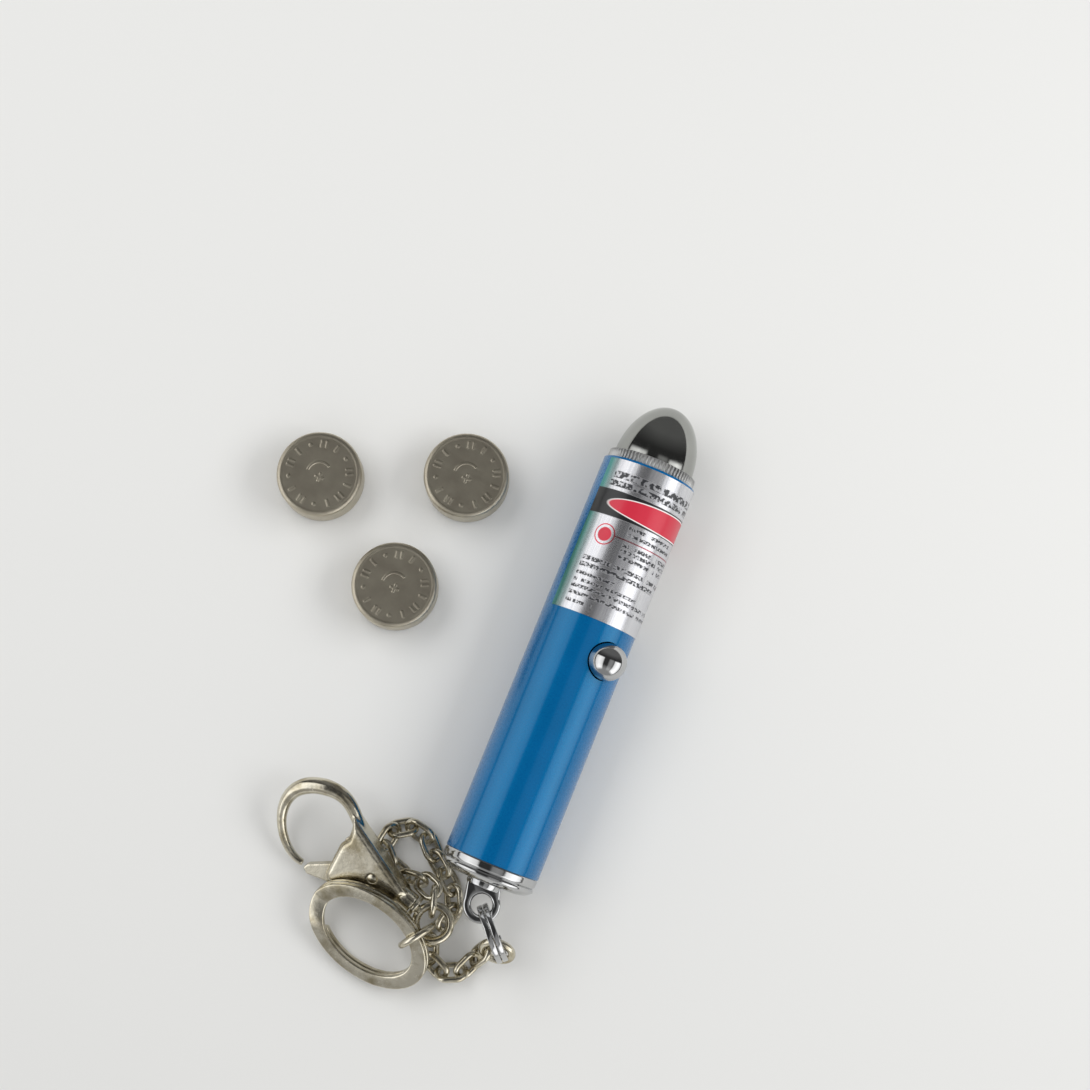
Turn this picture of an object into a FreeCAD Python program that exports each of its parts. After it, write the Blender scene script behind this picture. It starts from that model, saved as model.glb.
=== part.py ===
import FreeCAD, Part
import math
import os

# Hand-held push-button laser pointer with its keychain, and three loose button cells beside it.
# Millimetres. +Z is up from the table, and the pointer lies along Y with its nose towards +Y.

V = FreeCAD.Vector

# ---- barrel and label ----
barrel_od = 13.0
barrel_wall = 0.5
barrel_len = 55.8
label_t = 0.08
label_from_nose = 0.3        # bare rim between the label and the knurled ring
label_from_button = 4.53     # from the button's middle to the label's tail-side edge
label_left_deg = 57.0        # how far round the label starts on the left of the top
label_wrap_deg = 232.0

# ---- head: knurled ring, nose shell, window ----
knurl_len = 1.35
knurl_r = 6.12
knurl_depth = 0.2
knurl_count = 72
nose_r = 5.53                # short half axis of the bullet shape
nose_long = 8.25             # long half axis
nose_hidden = 0.07           # how far the bullet's widest ring sits behind the knurled ring's face
nose_wall = 0.65
nose_stub_len = 4.5          # threaded stub inside the barrel
aperture_r = 1.0
window_r = 1.75
window_t = 0.8
window_set_back = 1.7

# ---- tail: cap, lug, spring ----
cap_len = 2.6
cap_rim_r = 5.6
cap_waist_r = 6.2
cap_waist_y = 1.27
cap_rim_flat = 0.6           # width of the round between the cap's end face and its rear bead
cap_bead = 0.2               # height of both beads over the waist
cap_bead_w = 0.55            # from the waist to the rear bead's edge
cap_front_w = 0.62           # from the waist to the front bead's shoulder
cap_flush = 0.03             # how far that shoulder sits below the barrel
cap_end_wall = 0.9           # how far the closed end reaches into the barrel
cap_thread_len = 4.5
cap_thread_wall = 0.9
spring_room = 2.3            # free length of the tail spring ahead of the cap's thread
thread_pitch = 0.75
thread_clear = 0.07
lug_pin_r = 0.95
lug_head_r = 1.8
lug_head_t = 0.5
lug_neck_w = 4.6
lug_eye_r = 2.5
lug_t = 1.6
lug_hole_r = 1.4
lug_hole_x = 0.8
lug_hole_y = 3.0             # behind the cap's end face
lug_foot = 0.9
tail_spring_wire = 0.5
tail_spring_r_big = 3.9
tail_spring_r_small = 2.0
tail_spring_turns = 4.0
bay_gap = 0.25               # end play between the spring, the cells and the front contact

# ---- cells and the sleeve that holds them ----
cell_r = 5.8
cell_h = 5.4
cell_count = 3
cell_can_wall = 0.25
cell_cap_r = 4.75
cell_cap_step = 0.25         # how far the small cap stands over the can's rolled rim
cell_gasket_w = 0.3
cell_round = 0.6
cell_edge = 0.3              # bevel round the can's flat face, and rounding of the cap
cell_lip_t = 0.3             # thickness of the can's rolled lip
cell_floor_gap = 0.05        # between the can's floor and the cap and gasket
cell_seal = 0.02             # between the gasket and the metal on both sides of it
cell_foot_w = 0.4            # the cap's widened foot ends this far inside the can's wall
cell_foot_top = 0.9          # from the can's top to the top of that foot
sleeve_clear = 0.06
sleeve_gap = 0.2             # between the cap's thread and the sleeve
sleeve_wall = 0.09

# ---- light source ----
module_reach = 2.1           # how far the module reaches past the barrel's end
carrier_clear = 0.06
front_contact_t = 0.4
contact_spring_h = 1.7
contact_spring_r = 1.6
contact_spring_r_big = 2.4
contact_spring_wire = 0.35
board_w = 9.6
board_t = 1.0
board_inset = 0.8            # from the carrier's tail end to the board
board_margin = 0.4           # between the board's tail edge and the switch
board_module_gap = 0.6       # between the board and the module
front_contact_r = 3.2
contact_spring_turns = 3.0
module_r = 4.4
module_bore = 3.3
module_len = 15.0
module_grip = 5.0            # length of the module held in the carrier
fit_clear = 0.03
diode_flange_r = 2.8
diode_flange_t = 1.2
diode_can_r = 2.35
diode_can_h = 2.3
diode_lead_r = 0.225
diode_lead_len = 3.0
diode_lead_gap = 1.8         # between the two leads, which lie on the board
lens_r = 3.25
lens_edge_t = 1.0
lens_crown = 0.6
lens_from_diode = 6.3
lens_seat_gap = 0.17         # the retainer's ring touches the crown, not the edge
retainer_t = 1.5
retainer_hole_r = 1.7
lens_spring_wire = 0.4
lens_spring_turns = 3.0
lens_spring_inset = 0.45     # from the bore to the middle of its wire
lens_rest_w = 0.45           # how far the retainer's inner ring covers the lens
retainer_step = 0.7
flange_set_back = 0.6        # from the module's tail end to the diode's flange
window_clear = 0.05
window_room = 0.5            # between the window and the inner wall's end

# ---- push button and switch ----
button_tilt_deg = 37.0       # from straight up towards +X
button_r = 2.5
button_hole_clear = 0.12
button_centre_h = 7.0        # height of the dome's centre over the barrel's axis
button_flange_r = 3.1
button_flange_top = 4.75
button_flange_t = 0.6
button_travel = 0.5
switch_w = 6.0
switch_h = 2.35
plunger_r = 1.5
plunger_clear = 0.08
plunger_foot = 0.8           # how deep the plunger starts inside the switch
plunger_room = 0.1           # left under the plunger when it is pressed
resistor_l, resistor_w, resistor_h = 2.0, 1.25, 0.5
resistor_gap = 0.2           # beside the switch

# ---- small split ring on the lug ----
small_ring_r = 4.0
small_ring_w = 0.9
small_ring_h = 0.72
small_ring_slit = 0.08
small_ring_offset = 0.45     # how far the wire sits from the middle of the lug's hole
small_ring_heading = -47.0   # direction of the ring from the lug, degrees from +X
small_ring_start_deg = 100.0
ring_step_deg = 24.0         # half the sweep of the ramp that joins a split ring's two turns

# ---- chain ----
link_wire = 0.84
link_end_r = 1.25             # middle of the wire
link_straight = 1.3
link_play = 0.3
link_count = 19
link_roll_deg = 45.0
end_rolls_deg = (56.4, 2.3, 82.7)   # the last links turn upright, so that the last one goes through the eye
table_clear = 0.02
jump_r = 2.05
jump_wire = 1.0
jump_drop_deg = 42.0         # where the jump ring sits on the small split ring, below its far side
ring_wire_gap = 0.45         # how far a ring's centre lies inside the wire that it hangs on
jump_lean = (-0.80, -0.40, -0.45)    # way that the jump ring points, down towards the chain
chain_first_way = (0.6, 0.75, 0.25)  # from the jump ring's wire to the chain's first point
eye_pull_way = (-0.45, 0.89, 0)      # from the swivel eye's middle towards the last link
eye_pull_rise = 0.15

# ---- clasp ----
clasp_x, clasp_y, clasp_z = -8.5, -8.95, 4.38
clasp_heading = -18.9        # direction from the hook to the swivel, degrees from +X
clasp_roll_deg = 26.0        # the back edge rests on the chain
clasp_len = 22.0             # from the hook's far side to the neck
clasp_t = 3.4
clasp_edge = 0.55
slot_t = 1.3
gate_side_clear = 0.1
gate_round = 0.35
rivet_u, rivet_v = -5.4, -0.15
rivet_r = 0.55
rivet_clear = 0.05
rivet_head_r = 0.62
rivet_head_t = 0.12
gate_spring_wire = 0.16
gate_spring_r = 0.42
gate_spring_u = -8.4
gate_spring_turns = 4.0
gate_spring_low = 0.24       # its seats on the gate and on the body slope, so it stands off their middles
gate_spring_high = 0.10
neck_r = 1.45
neck_front = -1.6
neck_back = 0.9
post_r = 0.65
post_head_r = 1.0
post_head_t = 0.6
post_head_in = 0.4           # how far the head's room starts inside the neck
collar_gap = 0.1
post_clear = 0.06
collar_r = 1.6
collar_t = 0.55
collar_round = 0.2
eye_r = 2.3                  # middle of the wire
eye_wire = 1.1

# ---- key ring and the round link that joins it to the swivel eye ----
key_ring_r = 9.05
key_ring_w = 2.2
key_ring_h = 0.75
key_ring_slit = 0.1
key_ring_squeeze = 0.70      # short axis over long axis
key_ring_x, key_ring_y = -11.6, -15.0
key_ring_heading = -15.4
key_ring_tilt_deg = 31.0
key_ring_start_deg = 200.0
key_link_wire = 0.9
key_link_r = 2.4             # middle of the wire
key_link_at_deg = 50.0       # place on the key ring, from its long axis
key_link_rise = 0.1          # its centre over the middle between the key ring and the eye

# ---- places of the loose cells on the table ----
cell_places = [(-41.4, 39.2), (-22.9, 46.55), (-26.2, 29.1)]

# ---- worked-out sizes ----
barrel_r = barrel_od / 2
bore_r = barrel_r - barrel_wall
axis_z = barrel_r + label_t
head_y = barrel_len + knurl_len
nose_y = head_y - nose_hidden
cap_face_y = -cap_len
thread_r = bore_r - thread_clear
bay_start = cap_thread_len + spring_room
bay_end = bay_start + cell_count * cell_h + 2 * bay_gap
carrier_y = bay_end + contact_spring_h + front_contact_t
module_y = barrel_len - module_len + module_reach
carrier_len = module_y + module_grip - carrier_y
board_y = carrier_y + board_inset
button_y = board_y + board_margin + switch_w / 2
board_len = module_y - board_module_gap - board_y
label_len = barrel_len - label_from_nose - button_y - label_from_button
lug_hole_at = V(lug_hole_x, cap_face_y - lug_hole_y, axis_z)
chain_z = link_end_r * math.sin(math.radians(link_roll_deg)) + link_wire / 2 + table_clear


def outline_face(points, z=0.0):
    corners = [V(x, y, z) for x, y in points]
    return Part.Face(Part.makePolygon(corners + corners[:1]))


def to_axis(shape):
    """Lifts a shape built about the Y axis to the pointer's axis."""
    shape.translate(V(0, 0, axis_z))
    return shape


def rod(radius, start, end):
    return Part.makeCylinder(radius, end - start, V(0, start, axis_z), V(0, 1, 0))


def tube(outer, inner, start, end):
    return rod(outer, start, end).cut(rod(inner, start, end))


def turned(edges):
    """Solid of revolution about the pointer's axis, from edges in the (radius, y) plane."""
    face = Part.Face(Part.Wire(Part.__sortEdges__(edges)))
    return to_axis(face.revolve(V(0, 0, 0), V(0, 1, 0), 360))


def lines(*points):
    corners = [V(r, y, 0) for r, y in points]
    return [Part.LineSegment(a, b).toShape() for a, b in zip(corners, corners[1:])]


def arc(start, middle, end):
    return Part.Arc(V(*start, 0), V(*middle, 0), V(*end, 0)).toShape()


def turned_corners(*points):
    return turned(lines(*points, points[0]))


def coil(radius, end_radius, height, turns, wire):
    """Spring about +Z: a round wire along a helix. A helix here can only widen, so a spring that narrows
    is made upside down and turned over."""
    small = min(radius, end_radius)
    cone = math.degrees(math.atan2(abs(end_radius - radius), height))
    helix = Part.makeHelix(height / turns, height, small, cone)
    section = Part.Wire(Part.makeCircle(wire / 2, V(small, 0, 0), V(0, 1, 0)))
    spring = Part.Wire(helix.Edges).makePipeShell([section], True, True)
    if end_radius < radius:
        spring.rotate(V(0, 0, height / 2), V(1, 0, 0), 180)
    return spring


def along_y(shape, y):
    """Turns a shape built about +Z onto the pointer's axis, with its base at y."""
    shape.rotate(V(0, 0, 0), V(1, 0, 0), -90)
    shape.translate(V(0, y, axis_z))
    return shape


def frame_at(origin, x_dir, z_dir):
    """Placement whose X runs along x_dir and whose Z is as near z_dir as it can be."""
    x = V(x_dir).normalize()
    y = V(z_dir).cross(x).normalize()
    z = x.cross(y)
    matrix = FreeCAD.Matrix(x.x, y.x, z.x, origin.x, x.y, y.y, z.y, origin.y,
                            x.z, y.z, z.z, origin.z, 0, 0, 0, 1)
    return FreeCAD.Placement(matrix)


def placed(shape, placement):
    return shape.transformed(placement.toMatrix())


def split_ring(outer, width, layer, slit):
    """Two flat turns of one wire in the XY plane. A short ramp joins the lower turn to the upper one."""
    gap_deg, steps = ring_step_deg, 4
    level = (layer + slit) / 2
    middle = outer - width / 2

    def section(angle_deg, z):
        a = math.radians(angle_deg)
        out, up = V(math.cos(a), math.sin(a), 0), V(0, 0, 1)
        at = out * middle + V(0, 0, z)
        corners = [at + out * (i * width / 2) + up * (j * layer / 2)
                   for i, j in ((-1, -1), (1, -1), (1, 1), (-1, 1))]
        return Part.makePolygon(corners + corners[:1])

    sweep = 360 - 2 * gap_deg
    lower = Part.Face(section(gap_deg, -level)).revolve(V(0, 0, 0), V(0, 0, 1), sweep)
    upper = Part.Face(section(gap_deg, level)).revolve(V(0, 0, 0), V(0, 0, 1), sweep)
    ramp = []
    for i in range(steps + 1):
        t = i / steps
        ramp.append(section(-gap_deg + 2 * gap_deg * t, level * (2 * t * t * (3 - 2 * t) - 1)))
    return lower.fuse([Part.makeLoft(ramp, True, False), upper]).removeSplitter()


def torus(middle_r, wire):
    return Part.makeTorus(middle_r, wire / 2)


def stadium_link():
    """One chain link in the XY plane with its length along X."""
    half = link_straight / 2
    parts = []
    for side in (-1, 1):
        bow = Part.makeTorus(link_end_r, link_wire / 2, V(side * half, 0, 0), V(0, 0, 1), -180, 180, 180)
        bow.rotate(V(side * half, 0, 0), V(0, 0, 1), -90 if side > 0 else 90)
        parts.append(bow)
        parts.append(Part.makeCylinder(link_wire / 2, link_straight, V(-half, side * link_end_r, 0),
                                       V(1, 0, 0)))
    return parts[0].fuse(parts[1:]).removeSplitter()


parts = {}


# ---- barrel, label, head ----
def make_barrel():
    tilt = math.radians(button_tilt_deg)
    out = V(math.sin(tilt), 0, math.cos(tilt))
    hole = Part.makeCylinder(button_r + button_hole_clear, barrel_r + 1, V(0, button_y, axis_z), out)
    body = turned_corners((bore_r, 0), (barrel_r, 0), (barrel_r, barrel_len), (bore_r, barrel_len))
    parts["barrel"] = body.cut(hole)

    end = barrel_len - label_from_nose
    skin = tube(barrel_r + label_t, barrel_r, end - label_len, end)
    start = 90 + label_left_deg
    wedge = Part.makeCylinder(barrel_od, barrel_len, V(0, 0, 0), V(0, 0, 1), label_wrap_deg)
    wedge.rotate(V(0, 0, 0), V(1, 0, 0), 90)
    wedge.translate(V(0, barrel_len, 0))
    wedge.rotate(V(0, 0, 0), V(0, 1, 0), -(start - label_wrap_deg))
    parts["label"] = skin.common(to_axis(wedge))


def make_head():
    teeth = []
    for i in range(2 * knurl_count):
        a = math.pi * i / knurl_count
        r = knurl_r if i % 2 else knurl_r - knurl_depth
        teeth.append(V(r * math.cos(a), 0, r * math.sin(a)))
    ring = Part.Face(Part.makePolygon(teeth + teeth[:1])).extrude(V(0, knurl_len, 0))
    ring.translate(V(0, barrel_len, 0))
    stub_r = nose_r * math.sqrt(1 - (nose_hidden / nose_long) ** 2)
    parts["knurled_ring"] = to_axis(ring).cut(rod(stub_r, barrel_len, head_y))

    oval = Part.Ellipse(V(0, nose_y + nose_long, 0), V(nose_r, nose_y, 0), V(0, nose_y, 0))
    tip = math.asin(aperture_r / nose_r)
    root = math.acos(nose_hidden / nose_long)
    outside = Part.ArcOfEllipse(oval, tip, root).toShape()
    tip_y = nose_y + nose_long * math.cos(tip)
    window_y = nose_y + nose_long - window_set_back
    seat_r = window_r + window_clear
    inner_r, inner_long = nose_r - nose_wall, nose_long - window_set_back - window_t - window_room
    inner_oval = Part.Ellipse(V(0, nose_y + inner_long, 0), V(inner_r, nose_y, 0), V(0, nose_y, 0))
    inner_tip = math.asin(seat_r / inner_r)
    inside = Part.ArcOfEllipse(inner_oval, inner_tip, math.pi / 2).toShape()
    stub_y = barrel_len - nose_stub_len
    edges = [outside, inside] + lines((stub_r, head_y), (stub_r, barrel_len), (thread_r, barrel_len),
                                      (thread_r, stub_y), (inner_r, stub_y), (inner_r, nose_y))
    edges += lines((seat_r, nose_y + inner_long * math.cos(inner_tip)), (seat_r, window_y),
                   (aperture_r, window_y), (aperture_r, tip_y))
    parts["nose_shell"] = turned(edges)
    parts["aperture_window"] = rod(window_r, window_y - window_t, window_y)


# ---- tail ----
def make_tail():
    inner = thread_r - cap_thread_wall
    pin_way, front_r = lug_pin_r + fit_clear, barrel_r - cap_flush
    rear_bead = (cap_waist_r + cap_bead, -cap_waist_y - cap_bead_w)
    edges = lines((pin_way, cap_end_wall), (pin_way, cap_face_y), (cap_rim_r - cap_rim_flat, cap_face_y))
    edges.append(arc((cap_rim_r - cap_rim_flat, cap_face_y),
                     (cap_rim_r + cap_bead, cap_face_y + cap_rim_flat / 2), rear_bead))
    edges.append(arc(rear_bead, (cap_waist_r + 0.85 * cap_bead, -cap_waist_y - 0.36 * cap_bead_w),
                     (cap_waist_r, -cap_waist_y)))
    edges.append(arc((cap_waist_r, -cap_waist_y), (cap_waist_r + cap_bead, -cap_waist_y + 0.36 * cap_front_w),
                     (front_r, -cap_waist_y + cap_front_w)))
    edges += lines((front_r, -cap_waist_y + cap_front_w), (front_r, 0), (thread_r, 0),
                   (thread_r, cap_thread_len), (inner, cap_thread_len), (inner, cap_end_wall),
                   (pin_way, cap_end_wall))
    parts["tail_cap"] = turned(edges)

    # the lug is a flat eye on a round foot, and its pin is riveted over inside the cap
    half = lug_neck_w / 2
    eye_y = lug_hole_at.y
    neck = outline_face([(-half, cap_face_y), (half, cap_face_y), (lug_hole_x + lug_eye_r, eye_y),
                         (lug_hole_x - lug_eye_r, eye_y)], axis_z - lug_t / 2).extrude(V(0, 0, lug_t))
    eye = Part.makeCylinder(lug_eye_r, lug_t, V(lug_hole_x, eye_y, axis_z - lug_t / 2))
    hole = Part.makeCylinder(lug_hole_r, 3 * lug_t, V(lug_hole_x, eye_y, axis_z - 1.5 * lug_t))
    foot = rod(half, cap_face_y - lug_foot, cap_face_y)
    pin = rod(lug_pin_r, cap_face_y - lug_foot, cap_end_wall + lug_head_t)
    head = rod(lug_head_r, cap_end_wall, cap_end_wall + lug_head_t)
    lug = neck.fuse([eye, foot, pin, head]).cut(hole).removeSplitter()
    parts["tail_lug"] = lug

    spring_h = bay_start - cap_end_wall - tail_spring_wire
    spring = coil(tail_spring_r_big, tail_spring_r_small, spring_h, tail_spring_turns, tail_spring_wire)
    parts["tail_spring"] = along_y(spring, cap_end_wall + tail_spring_wire / 2)


# ---- inside the barrel ----
def make_inside():
    sleeve_r = bore_r - fit_clear
    parts["battery_sleeve"] = tube(sleeve_r, sleeve_r - sleeve_wall, cap_thread_len + sleeve_gap, carrier_y)

    tilt = FreeCAD.Rotation(V(0, 1, 0), button_tilt_deg)
    up = FreeCAD.Placement(V(0, 0, axis_z), tilt)

    def on_board(length, width, height, y, base):
        """A block on the board: y is its start, base its height over the axis before the tilt."""
        return placed(Part.makeBox(width, length, height, V(-width / 2, y, base)), up)

    # carrier: a half round cradle under the board, and a full ring that grips the module
    carrier_r = bore_r - carrier_clear
    cradle_end = module_y - board_module_gap
    full = rod(carrier_r, carrier_y, carrier_y + carrier_len)
    above = placed(Part.makeBox(2 * barrel_od, cradle_end - board_y, barrel_od, V(-barrel_od, board_y, 0)), up)
    wire_way = rod(diode_can_r, cradle_end - fit_clear, module_y + fit_clear)
    carrier = full.cut(above).cut(wire_way)
    parts["board_carrier"] = carrier.cut(rod(module_r + fit_clear, module_y, module_y + module_len))

    parts["circuit_board"] = on_board(board_len, board_w, board_t, board_y, 0)
    beside = on_board(resistor_l, resistor_w, resistor_h, button_y - resistor_l / 2, board_t)
    beside.translate(up.Rotation.multVec(V((switch_w + resistor_w) / 2 + resistor_gap, 0, 0)))
    parts["resistor"] = beside

    case = on_board(switch_w, switch_w, switch_h, button_y - switch_w / 2, board_t)
    out = tilt.multVec(V(0, 0, 1))
    start = V(0, button_y, axis_z)
    seat_h = board_t + switch_h - plunger_foot - button_travel - plunger_room
    well = Part.makeCylinder(plunger_r + plunger_clear, switch_w, start + out * seat_h, out)
    parts["switch_case"] = case.cut(well)
    flange_low = button_flange_top - button_flange_t
    plunger_low = board_t + switch_h - plunger_foot
    parts["switch_plunger"] = Part.makeCylinder(plunger_r, flange_low - plunger_low,
                                                start + out * plunger_low, out)

    flange = Part.makeCylinder(button_flange_r, button_flange_t, start + out * flange_low, out)
    stem = Part.makeCylinder(button_r, button_centre_h - button_flange_top, start + out * button_flange_top,
                             out)
    dome = Part.makeSphere(button_r, start + out * button_centre_h, out, 0, 90, 360)
    parts["push_button"] = flange.fuse([stem, dome]).removeSplitter()

    plate = rod(front_contact_r, carrier_y - front_contact_t, carrier_y)
    spring = coil(contact_spring_r_big, contact_spring_r, contact_spring_h - contact_spring_wire,
                  contact_spring_turns, contact_spring_wire)
    spring = along_y(spring, 0)
    spring.rotate(V(0, 0, axis_z), V(1, 0, 0), 180)
    spring.translate(V(0, carrier_y - front_contact_t - contact_spring_wire / 2, 0))
    parts["front_contact"] = plate
    parts["contact_spring"] = spring

    # laser module, held by its back end in the carrier
    flange_y = module_y + flange_set_back
    housing = tube(module_r, module_bore, flange_y + diode_flange_t, module_y + module_len)
    back = tube(module_r, diode_flange_r + fit_clear, module_y, flange_y + diode_flange_t)
    parts["module_housing"] = housing.fuse(back).removeSplitter()
    leads = []
    for side in (-1, 1):
        foot = V(side * diode_lead_gap / 2, flange_y - diode_lead_len, board_t + diode_lead_r)
        lead = Part.makeCylinder(diode_lead_r, diode_lead_len + diode_flange_t / 2, foot, V(0, 1, 0))
        leads.append(placed(lead, up))
    can = rod(diode_can_r, flange_y + diode_flange_t, flange_y + diode_flange_t + diode_can_h)
    parts["laser_diode"] = rod(diode_flange_r, flange_y, flange_y + diode_flange_t).fuse([can] + leads)

    lens_y = flange_y + diode_flange_t + lens_from_diode
    crown_ball = (lens_r ** 2 + lens_crown ** 2) / (2 * lens_crown)
    half_way = math.sqrt(crown_ball ** 2 - (lens_r / 2) ** 2) - crown_ball + lens_crown
    crown = arc((lens_r, lens_y + lens_edge_t), (lens_r / 2, lens_y + lens_edge_t + half_way),
                (0, lens_y + lens_edge_t + lens_crown))
    rim = lines((0, lens_y + lens_edge_t + lens_crown), (0, lens_y), (lens_r, lens_y),
                (lens_r, lens_y + lens_edge_t))
    parts["collimating_lens"] = turned(rim + [crown])
    spring_h = lens_from_diode - 2 * fit_clear - lens_spring_wire
    spring_r = round(module_bore - lens_spring_inset, 4)
    lens_coil = coil(spring_r, spring_r, spring_h, lens_spring_turns, lens_spring_wire)
    parts["lens_spring"] = along_y(lens_coil, flange_y + diode_flange_t + fit_clear + lens_spring_wire / 2)
    ring_y = lens_y + lens_edge_t + lens_seat_gap
    retainer_r = module_bore - fit_clear
    seat = tube(retainer_r, lens_r - lens_rest_w, ring_y, ring_y + retainer_step)
    stop = tube(retainer_r, retainer_hole_r, ring_y + retainer_step, ring_y + retainer_t)
    parts["lens_retainer"] = seat.fuse(stop).removeSplitter()


# ---- loose cells ----
def make_cells():
    """Each cell lies with the flat face of its can up, on its smaller cap."""
    can_top = cell_h - cell_cap_step
    for i, (x, y) in enumerate(cell_places):
        def spun(edges):
            face = Part.Face(Part.Wire(Part.__sortEdges__(edges)))
            solid = face.revolve(V(0, 0, 0), V(0, 1, 0), 360)
            solid.rotate(V(0, 0, 0), V(1, 0, 0), -90)
            solid.translate(V(x, y, cell_h))
            return solid

        lip = cell_cap_r + cell_gasket_w
        inner = cell_r - cell_can_wall
        lip_low = can_top - cell_lip_t
        slope = inner - lip
        can = lines((0, 0), (cell_r - cell_edge, 0), (cell_r, cell_edge), (cell_r, can_top - cell_round))
        can.append(arc((cell_r, can_top - cell_round),
                       (cell_r - 0.29 * cell_round, can_top - 0.29 * cell_round),
                       (cell_r - cell_round, can_top)))
        can += lines((cell_r - cell_round, can_top), (lip, can_top), (lip, lip_low),
                     (inner, lip_low - slope), (inner, cell_can_wall), (0, cell_can_wall), (0, 0))
        parts["cell_%d_can" % (i + 1)] = spun(can)
        low = cell_can_wall + cell_floor_gap
        foot_r, foot_top = inner - cell_foot_w, can_top - cell_foot_top
        neck_top = can_top - cell_foot_top / 2
        inside, outside = cell_cap_r + cell_seal, lip - cell_seal / 2
        gasket = lines((inside, can_top + cell_seal), (outside, can_top + cell_seal), (outside, lip_low - cell_seal),
                       (inner - cell_seal, lip_low - 1.5 * cell_seal - slope), (inner - cell_seal, low),
                       (foot_r, low), (foot_r, foot_top), (inside, neck_top), (inside, can_top + cell_seal))
        parts["cell_%d_gasket" % (i + 1)] = spun(gasket)
        cup = cell_cap_r - cell_edge
        cap = lines((0, low), (foot_r - cell_seal, low), (foot_r - cell_seal, foot_top - cell_seal),
                    (cell_cap_r, neck_top - 2.5 * cell_seal), (cell_cap_r, cell_h - cell_edge))
        cap.append(arc((cell_cap_r, cell_h - cell_edge),
                       (cell_cap_r - 0.29 * cell_edge, cell_h - 0.29 * cell_edge), (cup, cell_h)))
        cap += lines((cup, cell_h), (0, cell_h), (0, low))
        parts["cell_%d_cap" % (i + 1)] = spun(cap)


# ---- small split ring, chain, clasp, key ring ----
def small_ring_frame():
    a = math.radians(small_ring_heading)
    out = V(math.cos(a), math.sin(a), 0)
    wire_at = lug_hole_at + out * small_ring_offset
    centre = wire_at + out * (small_ring_r - small_ring_w / 2)
    return centre, out


def clasp_frame():
    a = math.radians(clasp_heading)
    forward = V(math.cos(a), math.sin(a), 0)
    base = frame_at(V(clasp_x, clasp_y, clasp_z), forward, V(0, 0, 1))
    return base.multiply(FreeCAD.Placement(V(0, 0, 0), FreeCAD.Rotation(V(1, 0, 0), clasp_roll_deg)))


def eye_centre():
    a = math.radians(clasp_heading)
    reach = neck_back + collar_gap + collar_t + collar_gap + eye_r + eye_wire / 2
    return V(clasp_x + math.cos(a) * reach, clasp_y + math.sin(a) * reach, clasp_z)


def jump_ring_frame():
    """The jump ring hangs on the small split ring and leans down towards the chain."""
    centre, out = small_ring_frame()
    drop = math.radians(jump_drop_deg)
    wire_at = centre + (out * math.cos(drop) - V(0, 0, math.sin(drop))) * (small_ring_r - small_ring_w / 2)
    tangent = out * math.sin(drop) + V(0, 0, math.cos(drop))
    lean = V(*jump_lean).normalize()
    normal = (tangent - lean * tangent.dot(lean)).normalize()
    return wire_at + lean * ring_wire_gap, lean, normal


def chain_stations():
    """Points where links meet, along one smooth route from the jump ring to the swivel eye."""
    ring_centre, lean, _ = jump_ring_frame()
    first = ring_centre + lean * jump_r + V(*chain_first_way).normalize() * ring_wire_gap
    out = V(*eye_pull_way).normalize()
    inwards = (V(0, 0, eye_pull_rise) - out).normalize()
    past_wire = (link_wire + eye_wire) / 2 + link_play - (link_wire + link_play) / 2
    last = eye_centre() + out * eye_r + inwards * past_wire
    on_table = [(2.50, -13.33, 0.17), (1.93, -14.78, 0.18), (-1.02, -16.19, 0.07), (-3.62, -14.21, 0),
                (-3.75, -11.96, 0.04), (-2.59, -9.82, 0.11), (-2.33, -8.04, 0.16), (-2.61, -6.71, 0.05),
                (-3.97, -5.12, 0.08), (-5.02, -4.25, 0.09), (-8.37, -1.45, 0), (-9.31, -0.41, 0.01),
                (-12.99, -0.26, 0.03), (-14.47, -2.86, 0.02), (-14.17, -4.34, 0.05), (-11.48, -5.99, 0.02),
                (-10.90, -6.20, 0.16), (-8.16, -6.00, 0.98)]
    route = [first] + [V(x, y, chain_z + rise) for x, y, rise in on_table] + [last]
    curve = Part.BSplineCurve()
    curve.interpolate(route)
    stops = [curve.length() * i / link_count for i in range(link_count + 1)]
    return [curve.value(curve.parameterAtDistance(stop)) for stop in stops]


def make_chain():
    centre, out = small_ring_frame()
    ring = split_ring(small_ring_r, small_ring_w, small_ring_h, small_ring_slit)
    ring.rotate(V(0, 0, 0), V(0, 0, 1), small_ring_start_deg)
    parts["small_split_ring"] = placed(ring, frame_at(centre, out, V(-out.y, out.x, 0)))
    ring_centre, lean, normal = jump_ring_frame()
    parts["jump_ring"] = placed(torus(jump_r, jump_wire), frame_at(ring_centre, lean, normal))
    stations = chain_stations()
    link = stadium_link()
    for i, (a, b) in enumerate(zip(stations, stations[1:])):
        middle, heading = (a + b) * 0.5, b - a
        at = frame_at(middle, heading, V(0, 0, 1))
        left = len(stations) - 1 - i
        turn = end_rolls_deg[-left] if left <= len(end_rolls_deg) else link_roll_deg
        roll = FreeCAD.Placement(V(0, 0, 0), FreeCAD.Rotation(V(1, 0, 0), turn * (-1) ** i))
        parts["chain_link_%02d" % (i + 1)] = placed(link, at.multiply(roll))


def drawn(*points):
    """Points of the clasp's outlines, which are drawn for a length of 22 mm."""
    return [tuple(value * clasp_len / 22 for value in point) for point in points]


def height_at(u, a, b):
    """Height at u of the line through points a and b."""
    return a[1] + (u - a[0]) * (b[1] - a[1]) / (b[0] - a[0])


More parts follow.
